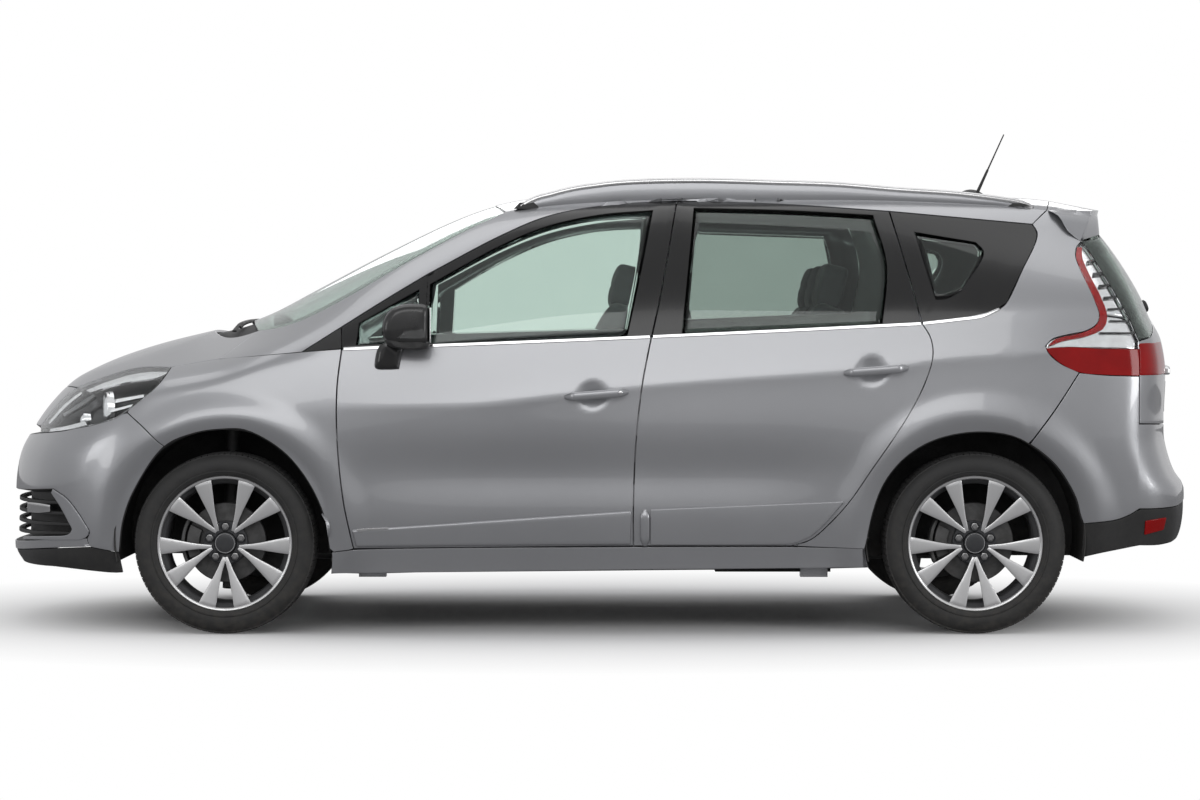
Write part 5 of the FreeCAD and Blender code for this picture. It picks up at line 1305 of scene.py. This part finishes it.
def tyre_piece(name, centre):
    """Tyre from the profile of its side and of half its tread, with blocks pressed out of the tread."""
    groove = 0.3250
    side = [(0.2495, 0.0900), (0.2515, 0.0975), (0.2565, 0.1020), (0.2635, 0.1045), (0.2655, 0.1070),
        (0.2695, 0.1070), (0.2715, 0.1040), (0.281, 0.1065), (0.294, 0.1060), (0.307, 0.1025),
        (0.318, 0.0965), (0.3255, 0.0900)]
    tread = [(0.3292, 0.0800), (0.3302, 0.0600), (0.3250, 0.0590), (0.3250, 0.0510), (0.3305, 0.0500),
        (0.3308, 0.0250), (0.3250, 0.0240), (0.3250, 0.0160), (0.3310, 0.0150), (0.3310, 0.0)]
    half = side + tread
    profile = half + [(radius, -along) for radius, along in reversed(half[:-1])]
    bm = turned(profile, 96)
    blocks = [face for face in bm.faces if min(math.hypot(v.co.x, v.co.y) for v in face.verts) > groove]
    blocks = [face for face in blocks if face.calc_area() > BLOCK_AREA]
    bmesh.ops.inset_individual(bm, faces=blocks, thickness=0.0016, depth=0.0046, use_even_offset=True)
    return stood_at(bm, name, centre, OUTWARD, 30)


def facing_left(bm):
    """A sheet with its faces towards the car's left."""
    bmesh.ops.recalc_face_normals(bm, faces=bm.faces)
    if sum(face.normal.y for face in bm.faces) > 0:
        bmesh.ops.reverse_faces(bm, faces=bm.faces)
    return bm


def spokes_piece(name, centre):
    """Ten spokes in five pairs, each through rows of radius, half width and height."""
    rows = ((0.2425, 0.0330, 0.0905), (0.225, 0.0305, 0.0900), (0.196, 0.0255, 0.0880),
        (0.165, 0.0200, 0.0860), (0.137, 0.0150, 0.0835), (0.105, 0.0105, 0.0800),
        (0.072, 0.0085, 0.0770), (0.052, 0.0070, 0.0755))
    root, rim = 0.045, rows[0][0]
    whole = bmesh.new()
    start, end = np.array((root, 0.0)), np.array((0.2330, 0.0668))
    way = (end - start) / np.linalg.norm(end - start)
    across = np.array((-way[1], way[0]))
    for pair in (126, 54, 342, 270, 198):
        for hand in (-1, 1):
            grid = np.zeros((len(rows), 5, 3))
            for i, (reach, half, height) in enumerate(rows):
                share = (reach - root) / (rim - root)
                middle = start + (end - start) * share
                for j, offset in enumerate((-1, -0.55, 0, 0.55, 1)):
                    place = middle + across * half * offset
                    place[1] *= hand
                    radius = math.hypot(place[0], place[1])
                    if i == 0:
                        place *= rim / radius
                    angle = math.degrees(math.atan2(place[1], place[0])) + pair
                    rise = height - 0.0012 * offset ** 2
                    grid[i, j] = polar(centre, math.hypot(place[0], place[1]), angle, rise)
            join_into(whole, facing_left(grid_mesh(grid)))
    made = object_from(whole, name, 40)
    wall = made.modifiers.new("wall", "SOLIDIFY")
    wall.thickness = 0.026
    wall.offset = -1
    wall.material_offset = 1
    wall.material_offset_rim = 1
    bevelled(made, 0.0016)
    return made


def arc_block(name, centre, radii, angles, reach, steps=14, bevel=0.004):
    """Block that follows a circle about a wheel's middle."""
    grid = np.zeros((2, steps + 1, 3))
    for i, radius in enumerate(radii):
        for j, angle in enumerate(np.linspace(angles[0], angles[1], steps + 1)):
            grid[i, j] = polar(centre, radius, angle, reach[1])
    return finish_edges(object_from(facing_left(grid_mesh(grid)), name, 40), reach[1] - reach[0], bevel,
        3)


wheel_place = (FRONT_AXLE, -HALF_TRACK, HUB_HEIGHT)
hub_profile = [(0.041, 0.052), (0.041, 0.0690), (0.0435, 0.0705), (0.0765, 0.0690), (0.0815, 0.0650),
    (0.0830, 0.046)]
lip_profile = [(0.2360, 0.083), (0.2385, 0.0900), (0.2420, 0.0935), (0.2475, 0.0945), (0.2500, 0.0925),
    (0.2500, 0.085)]
barrel_profile = [(0.2372, 0.086), (0.2330, 0.074), (0.2250, 0.066), (0.2190, 0.050), (0.2170, 0.0),
    (0.2190, -0.060), (0.2270, -0.078), (0.2400, -0.086), (0.2500, -0.092)]
disc_profile = [(0.0, 0.046), (0.072, 0.046), (0.076, 0.042), (0.076, 0.0345), (0.082, 0.0335),
    (0.1455, 0.0335), (0.148, 0.031), (0.148, 0.0155), (0.1455, 0.013), (0.060, 0.013)]
cap_profile = [(0.0, 0.0835), (0.020, 0.0833), (0.034, 0.0822), (0.0385, 0.0800), (0.0400, 0.076),
    (0.0400, 0.060)]
ring_profile = [(0.0335, 0.0815), (0.0342, 0.0832), (0.0362, 0.0832), (0.0370, 0.0810)]


def turned_part(stem, profile, place, steps, metal, slot, sharp=35.0):
    """A turned part of a wheel with its name and materials; the slot it carries is not used."""
    return stem, turned_ring(stem, profile, place, OUTWARD, steps, sharp), [metal], slot


wheel_parts = [("tyre", tyre_piece("tyre_piece", wheel_place), [TYRE], "tyre"),
    turned_part("rim_lip", lip_profile, wheel_place, 96, ALLOY, "alloy"),
    turned_part("rim_barrel", barrel_profile, wheel_place, 96, BARREL, "alloy"),
    ("rim_spokes", spokes_piece("rim_spokes", wheel_place), [ALLOY, BARREL], "alloy"),
    turned_part("rim_hub", hub_profile, wheel_place, 20, ALLOY_DARK, "alloy", 30),
    turned_part("rim_cap", cap_profile, wheel_place, 48, ALLOY_DARK, "black_plastic"),
    turned_part("rim_cap_ring", ring_profile, wheel_place, 48, CHROME, "bright_rail"),
    turned_part("brake_disc", disc_profile, wheel_place, 72, DISC, "cast_metal")]
BOLT_CIRCLE = 0.061
bolt_profile = [(0.0, 0.080), (0.0085, 0.080), (0.0102, 0.0785), (0.0102, 0.0725), (0.0135, 0.0715),
    (0.0140, 0.066)]
pocket_profile = [(0.0140, 0.0680), (0.0142, 0.0710), (0.0170, 0.0735), (0.0190, 0.0715),
    (0.0190, 0.0640)]
for number, angle in enumerate((90, 162, 234, 306, 18)):
    place = polar(wheel_place, BOLT_CIRCLE, angle, 0.0)
    wheel_parts.append(turned_part("wheel_bolt_" + str(number), bolt_profile, place, 6, STEEL, "steel",
        25))
    wheel_parts.append(turned_part("bolt_seat_" + str(number), pocket_profile, place, 24, ALLOY_DARK,
        "alloy"))
for stem, piece, metals, slot in wheel_parts:
    for end, shift in (("front", 0.0), ("rear", REAR_AXLE - FRONT_AXLE)):
        for side, mirror in (("left", False), ("right", True)):
            corner = end + "_" + side
            copy = moved_to(piece, stem + "_" + corner, shift, mirror)
            replaced = {"tyre": ["tyre_" + corner], "rim_barrel": ["rim_" + corner]}.get(stem, ())
            shown(copy, "wheel_" + corner, metals[0], replaced)
            for metal in metals[1:]:
                copy.data.materials.append(metal)
    bpy.data.objects.remove(piece)
for end, shift in (("front", 0.0), ("rear", REAR_AXLE - FRONT_AXLE)):
    place = (wheel_place[0] + shift, wheel_place[1], wheel_place[2])
    body = "knuckle_@" if end == "front" else "body"
    outer = arc_block("caliper_outer_" + end, place, (0.098, 0.146), (152, 204), (0.0405, 0.0500))
    over = arc_block("caliper_bridge_" + end, place, (0.1535, 0.1665), (148, 208), (-0.012, 0.0500))
    both_sides(outer, body, CAST)
    both_sides(over, body, CAST)

# Folds inside the wheel arches
FOLD_INSET = 0.002
FOLD_WIDTH = 0.034
FOLD_SPREAD = 0.018
for end, line_out, axle in (("front", front_arch, FRONT_AXLE), ("rear", rear_arch, REAR_AXLE)):
    line_out = line_out + (0, FOLD_INSET, 0)
    line_in = line_out + (0, FOLD_WIDTH, 0)
    line_in = line_in + (line_in - (axle, 0, HUB_HEIGHT)) * (FOLD_SPREAD, 0, FOLD_SPREAD)
    both_sides(skin("arch_fold_" + end, [band(line_out, line_in, 70, 3)], thickness=0.003, bevel=0,
        flat=True), "body", BLACK_PLASTIC)


# Rounded forms drawn out along a path
def closed_form(name, rows, sharp):
    """Form through rings of places, closed at both ends."""
    bm = bmesh.new()
    rings = [[bm.verts.new(point) for point in row] for row in rows]
    for low, high in zip(rings, rings[1:]):
        for k in range(len(low)):
            after = (k + 1) % len(low)
            bm.faces.new((low[k], low[after], high[after], high[k]))
    bm.faces.new(rings[0])
    bm.faces.new(list(reversed(rings[-1])))
    bmesh.ops.recalc_face_normals(bm, faces=bm.faces)
    return object_from(bm, name, sharp)


def tube(name, centres, ups, outs, sizes, around=14, power=2.4, sharp=40):
    """Rounded sections along a path: ways up and out, half height and half depth, for all or for each."""
    ups, outs, sizes = (np.broadcast_to(np.array(v, float), (len(centres), n))
        for v, n in ((ups, 3), (outs, 3), (sizes, 2)))
    rows = []
    for centre, up, out, (high, deep) in zip(centres, ups, outs, sizes):
        row = []
        for step in range(around):
            turn = 2 * math.pi * step / around
            c, s = math.cos(turn), math.sin(turn)
            u = math.copysign(abs(s) ** (2 / power), s) * high
            o = math.copysign(abs(c) ** (2 / power), c) * deep
            row.append(np.array(centre) + up * u + out * o)
        rows.append(row)
    return closed_form(name, rows, sharp)


def dent(obj, centre, reach, deep):
    """Press a shallow bowl into a panel."""
    for vert in obj.data.vertices:
        far = ((vert.co.x - centre[0]) / reach[0]) ** 2 + ((vert.co.z - centre[2]) / reach[1]) ** 2
        if far < 1:
            vert.co -= Vector(normals_at(np.array([vert.co[:]]))[0]) * (deep * (1 - far) ** 1.2)


BOWL_SIZE = (0.062, 0.055)
BOWL_DEPTH = 0.015
HANDLE_FOOT = 0.006
HANDLE_RISE = 0.028
for stem, body, first, last, bowl in (("front", "door_front_@", (564, 397), (628, 392), (592, 395.5)),
        ("rear", "door_rear_@", (843, 373), (908, 368), (872, 371))):
    for side in ("left", "right"):
        dent(bpy.data.objects[stem + "_door_skin_" + side], spot(*bowl), BOWL_SIZE, BOWL_DEPTH)
    run = bridge(spot(*first), spot(*last), 25)
    normals = normals_at(run)
    share = np.linspace(0, 1, 25)
    lift = HANDLE_FOOT + HANDLE_RISE * np.clip(np.sin(math.pi * share) * 2.4, 0, 1)
    centres = run + normals * lift[:, None]
    sizes = tapered(share, (0.0155, 0.0075), (0.45, 0.5), 5)
    both_sides(tube(stem + "_handle", centres, (0, 0, 1), normals, sizes), body, PAINT)
    lock_place = spot(last[0] - 8, last[1] + 0.5)
    out = normals_at(lock_place[None])[0]
    lock = turned_ring(stem + "_lock", [(0.0, 0.0430), (0.0055, 0.0430), (0.0070, 0.0420),
        (0.0070, 0.030)], lock_place, out, 20)
    if stem == "front":
        both_sides(lock, body, CHROME)
    else:
        bpy.data.objects.remove(lock)


# Mirrors
def outline_form(name, outline, middle, stations, sharp=40):
    """Form with one outline seen from the side, drawn in at each station across the car."""
    outline = curve(list(outline) + [outline[0]], 41)[:-1]
    rows = [[(middle[0] + (x - middle[0]) * share, y, middle[1] + (z - middle[1]) * share)
        for x, z in outline] for y, share in stations]
    return closed_form(name, rows, sharp)


shell_outline = [(-0.618, 1.070), (-0.614, 1.085), (-0.613, 1.150), (-0.614, 1.205), (-0.622, 1.216),
    (-0.66, 1.2205), (-0.71, 1.218), (-0.750, 1.203), (-0.777, 1.172), (-0.788, 1.130), (-0.784, 1.098),
    (-0.765, 1.078), (-0.72, 1.070), (-0.66, 1.0675)]
both_sides(outline_form("mirror_shell", shell_outline, (-0.690, 1.143),
    [(-0.889, 0.86), (-0.892, 0.94), (-0.900, 0.985), (-0.915, 1.0), (-0.960, 1.0), (-0.985, 0.985),
    (-1.003, 0.945), (-1.014, 0.88), (-1.020, 0.78), (-1.0225, 0.62)]), "door_front_@", MIRROR_BLACK,
    ["mirror_@"])
foot_outline = [(-0.728, 0.978), (-0.722, 1.02), (-0.715, 1.068), (-0.745, 1.082), (-0.780, 1.080),
    (-0.806, 1.060), (-0.818, 1.02), (-0.818, 0.982), (-0.775, 0.976)]
both_sides(outline_form("mirror_foot", foot_outline, (-0.765, 1.035),
    [(-0.872, 1.0), (-0.884, 1.0), (-0.894, 0.96), (-0.906, 0.84), (-0.915, 0.62)]), "door_front_@",
    MIRROR_BLACK)
skirt_outline = [(-0.622, 1.054), (-0.615, 1.064), (-0.616, 1.082), (-0.66, 1.084), (-0.73, 1.084),
    (-0.775, 1.094), (-0.779, 1.084), (-0.76, 1.064), (-0.70, 1.053), (-0.65, 1.051)]
both_sides(outline_form("mirror_skirt", skirt_outline, (-0.690, 1.070),
    [(-0.887, 0.9), (-0.895, 0.99), (-0.965, 0.99), (-0.995, 0.94), (-1.010, 0.84), (-1.016, 0.7)]),
    "door_front_@", BLACK_PLASTIC)
repeater_outline = [(-0.730, 1.094), (-0.700, 1.119), (-0.665, 1.124), (-0.628, 1.125), (-0.628, 1.096),
    (-0.68, 1.092)]
both_sides(outline_form("mirror_repeater", repeater_outline, (-0.672, 1.108),
    [(-0.985, 1.0), (-1.012, 1.0), (-1.0225, 0.94), (-1.0245, 0.80)], 30), "door_front_@", LENS)
# Diffuse white back of the repeater: painted reflection
both_sides(outline_form("repeater_back", repeater_outline, (-0.672, 1.108),
    [(-0.98, 0.9), (-1.0105, 0.9)], 30), "door_front_@", REPEATER_WHITE_PAINTED_REFLECTION)
glass_grid = np.array([[(-0.6115, -0.905 - 0.100 * u, 1.078 + 0.128 * v) for u in np.linspace(0, 1, 9)]
    for v in np.linspace(0, 1, 9)])
both_sides(finish_edges(object_from(grid_mesh(glass_grid), "mirror_pane", 40), 0.004, 0.0015, 2),
    "door_front_@", CHROME)

# Roof rails and aerial
rail_px = [(521, 204), (527, 200), (537, 195.3), (550, 192), (565, 188), (580, 185), (595, 183),
    (610, 181), (640, 179), (700, 178), (775, 180), (835, 182), (895, 187), (955, 191), (1000, 196.5),
    (1022, 200.5), (1031, 206)]
rail_side = -0.548
depth_share = (rail_side - CAMERA_PLACE[1]) / PHOTO_FOCUS
rail_line = curve([(CAMERA_PLACE[0] + (x - PHOTO_CENTRE_X) * depth_share,
    CAMERA_PLACE[2] + (HORIZON_Y - y) * depth_share - 0.011) for x, y in rail_px], 90)
rail_centres = [(x, rail_side, z) for x, z in rail_line]
rail_ways = np.gradient(rail_line, axis=0)
rail_ups = [np.array((-w[1], 0, w[0])) / np.linalg.norm(w) for w in rail_ways]
both_sides(tube("roof_rail", rail_centres, rail_ups, (0, 1, 0), (0.0115, 0.015), 16, 3.0), "body",
    BRIGHT_RAIL, ["roof_rails"], False)
foot_line = [(x, rail_side, z) for x, z in rail_line[2:88]]
foot_low = dropped(rail_line[2:88, 0], rail_side)
foot_centres = [(top[0], rail_side, (top[2] + low[2]) / 2 - 0.006)
    for top, low in zip(foot_line, foot_low)]
foot_sizes = [(max((top[2] - low[2]) / 2 + 0.004, 0.004), 0.012) for top, low in zip(foot_line, foot_low)]
both_sides(tube("rail_foot", foot_centres, (0, 0, 1), (0, 1, 0), foot_sizes, 12, 6.0), "body", PAINT)
both_sides(tube("door_ridge", ridge_centres, (1, 0, 0), ridge_outs, ridge_sizes, 14), "door_rear_@",
    PAINT)
for i, place_x in enumerate((-0.262, 1.600)):
    base = dropped([place_x], rail_side)[0]
    top_z = float(np.interp(place_x, rail_line[:, 0], rail_line[:, 1]))
    low_z = base[2] - 0.004
    steps = np.linspace(0, 1, 8)
    centres = [(place_x, rail_side, low_z + (top_z - low_z) * t) for t in steps]
    sizes = [(0.055 - 0.022 * t, 0.019 - 0.005 * t) for t in steps]
    both_sides(tube("rail_post_" + str(i), centres, (1, 0, 0), (0, 1, 0), sizes, 16, 2.6), "body",
        BLACK_PLASTIC)
base_line = [(1.440 + 0.088 * t, 0, 1.650 + 0.004 * (1 - t)) for t in np.linspace(0, 1, 16)]
base_sizes = [(0.028 * math.sin(math.pi * (0.10 + 0.82 * t)) ** 0.6,
    0.025 * math.sin(math.pi * (0.08 + 0.84 * t)) ** 0.6) for t in np.linspace(0, 1, 16)]
shown(tube("aerial_base", base_line, (0, 0, 1), (0, 1, 0), base_sizes, 20, 2.0), "body", MIRROR_BLACK,
    ["aerial"])
mast_way = np.array((0.105, 0, 0.230))
mast_way /= np.linalg.norm(mast_way)
mast_up = np.array((-mast_way[2], 0, mast_way[0]))
mast_run = np.concatenate([np.linspace(0, 0.10, 40), np.linspace(0.101, 0.252, 8)])
mast_centres = [np.array((1.5065, 0, 1.668)) + mast_way * t for t in mast_run]
mast_sizes = [((0.0062 - 0.018 * t + 0.0008 * (i % 2),) * 2 if t < 0.1 else (0.0032 - 0.005 * (t - 0.1),)
    * 2) for i, t in enumerate(mast_run)]
shown(tube("aerial_mast", mast_centres, mast_up, (0, 1, 0), mast_sizes, 12, 2.0, 60), "body",
    BLACK_PLASTIC)

# Border print of the windscreen, headlining, wipers
screen_grid = coons(*screen_patch)
shown(skin("windscreen_border", [grid_part(screen_grid, 0, 4, 26), grid_part(screen_grid, 37, 40, 26),
    grid_part(screen_grid, 4, 37, 2)], depth=0.0095, thickness=0.001, bevel=0, whole=True), "body",
    DARK_GLASS)
shown(skin("headlining", [roof_patch], gap=0.03, depth=0.032, thickness=0.006, bevel=0, whole=True),
    "body", HEADLINING)
for i, (y_pivot, y_end, x_pivot) in enumerate(((-0.34, 0.06, -0.612), (0.16, 0.56, -0.604))):
    xs = np.linspace(x_pivot * HALF_LENGTH, (-0.597 if i == 0 else -0.612) * HALF_LENGTH, 22)
    run = dropped(xs, np.linspace(y_pivot, y_end, 22))
    normals = normals_at(run)
    arm = tube("wiper_arm_" + str(i), run + normals * 0.004, normals, (1, 0, 0),
        [(0.004, 0.009 - 0.004 * t) for t in np.linspace(0, 1, 22)], 10)
    shown(arm, "body", BLACK_PLASTIC, ["cowl_wipers"] if i == 0 else ())
    xs = xs + 0.014
    run = dropped(xs, np.linspace(y_pivot + 0.06, y_end + 0.03, 22))
    blade = tube("wiper_blade_" + str(i), run - normals_at(run) * 0.001, normals_at(run), (1, 0, 0),
        (0.0065, 0.005), 8)
    shown(blade, "body", SEAL)
cowl_line = bonnet_rear + (0.006, 0, 0)
shown(skin("cowl_panel", [(cowl_line, bridge(cowl_line[-1], screen_grid[3, -1], 24), screen_grid[3],
    np.array([cowl_line[0], screen_grid[3, 0]]), 26, 6)], depth=0.016, thickness=0.005, bevel=0,
    whole=True), "body", BLACK_PLASTIC)


def from_behind(y, z):
    """Places on the tail, straight in front of the given ones."""
    y, z = np.broadcast_arrays(y, z)
    return cast(np.stack([np.full(len(y), BEHIND_TAIL), y, z], axis=1), (-1, 0, 0), TAIL_REACH)


cap_foot = from_behind([0.0], 1.205)
cap_way = normals_at(cap_foot)[0]
cap_places = [cap_foot[0] + cap_way * out for out in (-0.004, 0.016, 0.028, 0.037, 0.042, 0.044)]
cap_sizes = [(r, r) for r in (0.019, 0.0255, 0.0262, 0.024, 0.017, 0.006)]
shown(tube("rear_wiper_cap", cap_places, (-cap_way[2], 0, cap_way[0]), (0, 1, 0), cap_sizes, 24, 2.0, 30),
    "tailgate", BLACK_PLASTIC)
run = from_behind(np.linspace(0, 0.36, 24), np.linspace(1.200, 1.225, 24))
arm = tube("rear_wiper_arm", run + normals_at(run) * 0.019, normals_at(run), (0, 0, 1),
    [(0.004, 0.009 - 0.004 * t) for t in np.linspace(0, 1, 24)], 10)
shown(arm, "tailgate", BLACK_PLASTIC)
run = run[6:] + (0, 0.02, 0.012)
blade = tube("rear_wiper_blade", run + normals_at(run) * 0.007, normals_at(run), (0, 0, 1),
    (0.0065, 0.005), 8)
shown(blade, "tailgate", SEAL)


# Seats with crowned cushions
CUSHION_POWER = 7
BOLSTER_PLACE = 0.80
BOLSTER_WIDTH = 0.16
SEAM_PLACE = 0.60
SEAM_WIDTH = 0.035
SEAM_DEPTH = 0.006


def cushion(name, centre, size, lean, crown, bolster, material=FABRIC):
    """Padded block: crowned on top, raised along both sides, with rounded edges."""
    bm = bmesh.new()
    bmesh.ops.create_cube(bm, size=2.0)
    bmesh.ops.subdivide_edges(bm, edges=bm.edges[:], cuts=11, use_grid_fill=True)
    for vert in bm.verts:
        x, y, z = vert.co
        norm = sum(abs(value) ** CUSHION_POWER for value in (x, y, z)) ** (1 / CUSHION_POWER)
        x, y, z = x / norm, y / norm, z / norm
        if z > 0:
            rise = crown * (1 - x * x) * (1 - y * y)
            side = bolster * math.exp(-((abs(y) - BOLSTER_PLACE) / BOLSTER_WIDTH) ** 2)
            side *= 1 - 0.5 * x * x
            seam = -SEAM_DEPTH * (math.exp(-((abs(y) - SEAM_PLACE) / SEAM_WIDTH) ** 2)
                + math.exp(-(x / 0.03) ** 2) * (abs(y) < SEAM_PLACE))
            z += (rise + side + seam) / size[2] * 2 * z
        vert.co = (x * size[0] / 2, y * size[1] / 2, z * size[2] / 2)
    turn = Matrix.Rotation(math.radians(lean), 4, "Y")
    bmesh.ops.transform(bm, matrix=Matrix.Translation(Vector(centre)) @ turn, verts=bm.verts)
    made = object_from(bm, name, 180)
    smooth = made.modifiers.new("soft", "SUBSURF")
    smooth.levels = 1
    smooth.render_levels = 1
    shown(made, "body", material)
    return made


seats = [("front", -0.36, side * 0.37, 0.50) for side in (-1, 1)]
seats += [("rear", 0.42, y, 0.40) for y in (-0.44, 0.0, 0.44)]
for number, (row, x, y, width) in enumerate(seats):
    name = row + "_seat_" + str(number)
    base = cushion(name + "_base", (x + 0.02, y, 0.640), (0.52, width, 0.15), 7, 0.022, 0.022)
    cushion(name + "_back", (x + 0.365, y, 0.935), (0.60, width - 0.02, 0.13), -68, 0.015, 0.030)
    cushion(name + "_head", (x + 0.470, y, 1.285), (0.17, 0.25, 0.10), -76, 0.012, 0.0)
    if number in (0, 2):
        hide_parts(row + "_seats")
    for hand, letter in ((-1, "a"), (1, "b")):
        foot_z, head_z = 1.16, 1.26
        centres = [(x + 0.445 + 0.012 * t, y + hand * 0.06, foot_z + (head_z - foot_z) * t)
            for t in np.linspace(0, 1, 4)]
        rod = tube(name + "_rod_" + letter, centres, (1, 0, 0), (0, 1, 0), (0.006, 0.006), 10, 2.0)
        shown(rod, "body", STEEL)
    for hand, letter in ((-1, "a"), (1, "b")):
        run = np.linspace(-0.25, 0.25, 8)
        centres = [(x + 0.02 + t, y + hand * width * 0.33, 0.545) for t in run]
        slide = tube(name + "_slide_" + letter, centres, (0, 0, 1), (0, 1, 0), (0.024, 0.020), 8, 5.0)
        shown(slide, "body", STEEL)


# CAD structure that stays: pressed in behind the panels where those lie over it
def pressed(node, inside=None, rear_end=None):
    """Copy of a structural part with its outer face behind the panels."""
    source = frame["nodes"][node]
    copy = copied(source, node + "_structure")
    copy.parent = None
    copy.matrix_world = Matrix.Identity(4)
    bm = bmesh.new()
    bm.from_mesh(copy.data)
    bmesh.ops.transform(bm, matrix=source.matrix_world, verts=bm.verts)
    bmesh.ops.remove_doubles(bm, verts=bm.verts, dist=1e-5)
    bmesh.ops.recalc_face_normals(bm, faces=bm.faces)
    if rear_end:
        parts = bm.verts[:] + bm.edges[:] + bm.faces[:]
        bmesh.ops.bisect_plane(bm, geom=parts, plane_co=(rear_end, 0, 0), plane_no=(1, 0, 0),
            clear_outer=True)
    places = np.array([v.co[:] for v in bm.verts])
    on_skin = settle(places)
    outward = normals_at(on_skin)
    near = np.sum((places - on_skin) * outward, axis=1) > -COVER_REACH
    for vert, close, place, way in zip(bm.verts, near, on_skin, outward):
        vert.index = int(close)
        if close:
            vert.co = place - way * COVER_DEPTH
    covered = [face for face in bm.faces if all(vert.index == 1 for vert in face.verts)]
    bmesh.ops.delete(bm, geom=covered, context="FACES")
    bm.normal_update()
    if inside:
        for face in bm.faces:
            middle = face.calc_center_median()
            inward = -1 if middle.y > 0 else 1
            face.material_index = 1 if face.normal.y * inward > 0.5 and face.verts[0].index == 0 else 0
    bm.to_mesh(copy.data)
    bm.free()
    shown(copy, source.parent.name.split(":")[-1], PAINT, [node])
    if inside:
        copy.data.materials.append(inside)
    return copy


for node in ("body_sides", "tailgate"):
    pressed(node)
pressed("bonnet", rear_end=bonnet_rear[-1, 0] - 0.012)
for node in ("door_front_left", "door_front_right", "door_rear_left", "door_rear_right"):
    pressed(node, CABIN)

CARRIED = {"floor_pan": UNDERSIDE, "arch_liners": UNDERSIDE, "engine_block": CAST, "front_frame": STEEL,
    "front_subframe": CAST, "exhaust": STEEL, "fuel_tank": UNDERSIDE, "knuckle_left": CAST,
    "knuckle_right": CAST, "rear_axle": CAST, "dashboard": CABIN, "steering_wheel": CABIN}
for node, metal in CARRIED.items():
    for material_slot in frame["nodes"][node].material_slots:
        material_slot.link = "OBJECT"
        material_slot.material = metal


# Camera, lamps and floor
camera = bpy.data.objects.new("camera", bpy.data.cameras.new("camera"))
bpy.context.scene.collection.objects.link(camera)
camera.location = CAMERA_PLACE
camera.rotation_euler = (math.radians(90), 0, 0)
camera.data.sensor_width = SENSOR_WIDTH
camera.data.lens = PHOTO_FOCUS * SENSOR_WIDTH / PHOTO_SIZE[0]
camera.data.shift_y = (HORIZON_Y - PHOTO_SIZE[1] / 2) / PHOTO_SIZE[0]
camera.data.clip_end = 200
bpy.context.scene.camera = camera


def soft_lamp(name, place, target, size, power):
    lamp = bpy.data.objects.new(name, bpy.data.lights.new(name, "AREA"))
    bpy.context.scene.collection.objects.link(lamp)
    lamp.data.shape = "RECTANGLE"
    lamp.data.size, lamp.data.size_y = size
    lamp.data.energy = power
    lamp.location = place
    lamp.rotation_euler = (Vector(target) - Vector(place)).to_track_quat("-Z", "Y").to_euler()
    return lamp


soft_lamp("overhead", (0, 0, 5.2), (0, 0, 0), (6.5, 3.2), 62)
soft_lamp("left_fill", (-0.5, -6.5, 3.6), (0, 0, 0.8), (6.0, 2.2), 75)
soft_lamp("front_fill", (-6.5, -4.5, 1.9), (-1.6, -0.6, 0.6), (2.2, 1.8), 32)
soft_lamp("rear_fill", (6.5, -4.5, 1.9), (1.6, -0.6, 0.6), (2.2, 1.8), 75)
soft_lamp("right_fill", (0.5, 6.5, 3.6), (0, 0, 0.8), (6.0, 2.2), 60)


def seen_directly(tree):
    """1 for what the camera sees, also through glass."""
    path = tree.nodes.new("ShaderNodeLightPath")
    return math_node(tree, "MAXIMUM", path.outputs["Is Camera Ray"], path.outputs["Is Transmission Ray"])


FLOOR_RADIUS = 26.0
SHADOW_START = 1.05
SHADOW_END = 2.2
floor_mesh = bmesh.new()
bmesh.ops.create_circle(floor_mesh, cap_ends=True, radius=FLOOR_RADIUS, segments=96)
floor = object_from(floor_mesh, "floor")
floor_material = bpy.data.materials.new("White floor")
floor_material.use_nodes = True
tree = floor_material.node_tree
surface = tree.nodes["Principled BSDF"]
surface.inputs["Roughness"].default_value = 0.9
surface.inputs["Specular IOR Level"].default_value = 0.1
floor_place = object_place(tree)
pale = mixed(tree, noise(tree, floor_place, 3.0), (0.86, 0.86, 0.86, 1), (0.90, 0.90, 0.90, 1))
# Painted reflection and bounce: the floor is pale where the camera sees it, but mid-grey for every other
# ray, so the car's lower sides reflect a darker floor
floor_colour_grey_in_reflections = mixed(tree, seen_directly(tree), (0.31, 0.31, 0.315, 1), pale)
tree.links.new(floor_colour_grey_in_reflections, surface.inputs["Base Color"])
squash_place = tree.nodes.new("ShaderNodeMapping")
squash_place.inputs["Scale"].default_value = (0.62, 1.0, 1.0)
tree.links.new(floor_place, squash_place.inputs["Vector"])
away = tree.nodes.new("ShaderNodeVectorMath")
away.operation = "LENGTH"
tree.links.new(squash_place.outputs[0], away.inputs[0])
fade = spread(tree, away.outputs["Value"], SHADOW_START, SHADOW_END, 0.0, 1.0)
white = tree.nodes.new("ShaderNodeEmission")
white.inputs["Strength"].default_value = 1.0
blend = tree.nodes.new("ShaderNodeMixShader")
tree.links.new(math_node(tree, "MULTIPLY", fade, seen_directly(tree)), blend.inputs[0])
tree.links.new(surface.outputs[0], blend.inputs[1])
tree.links.new(white.outputs[0], blend.inputs[2])
tree.links.new(blend.outputs[0], tree.nodes["Material Output"].inputs["Surface"])
floor.data.materials.append(floor_material)

world = bpy.data.worlds.new("studio")
world.use_nodes = True
bpy.context.scene.world = world
tree = world.node_tree
background = tree.nodes["Background"]
sky = mixed(tree, seen_directly(tree), (0.56, 0.56, 0.57, 1), (1.0, 1.0, 1.0, 1))
tree.links.new(sky, background.inputs["Color"])
background.inputs["Strength"].default_value = 1.0

bpy.context.scene.view_settings.view_transform = "Standard"
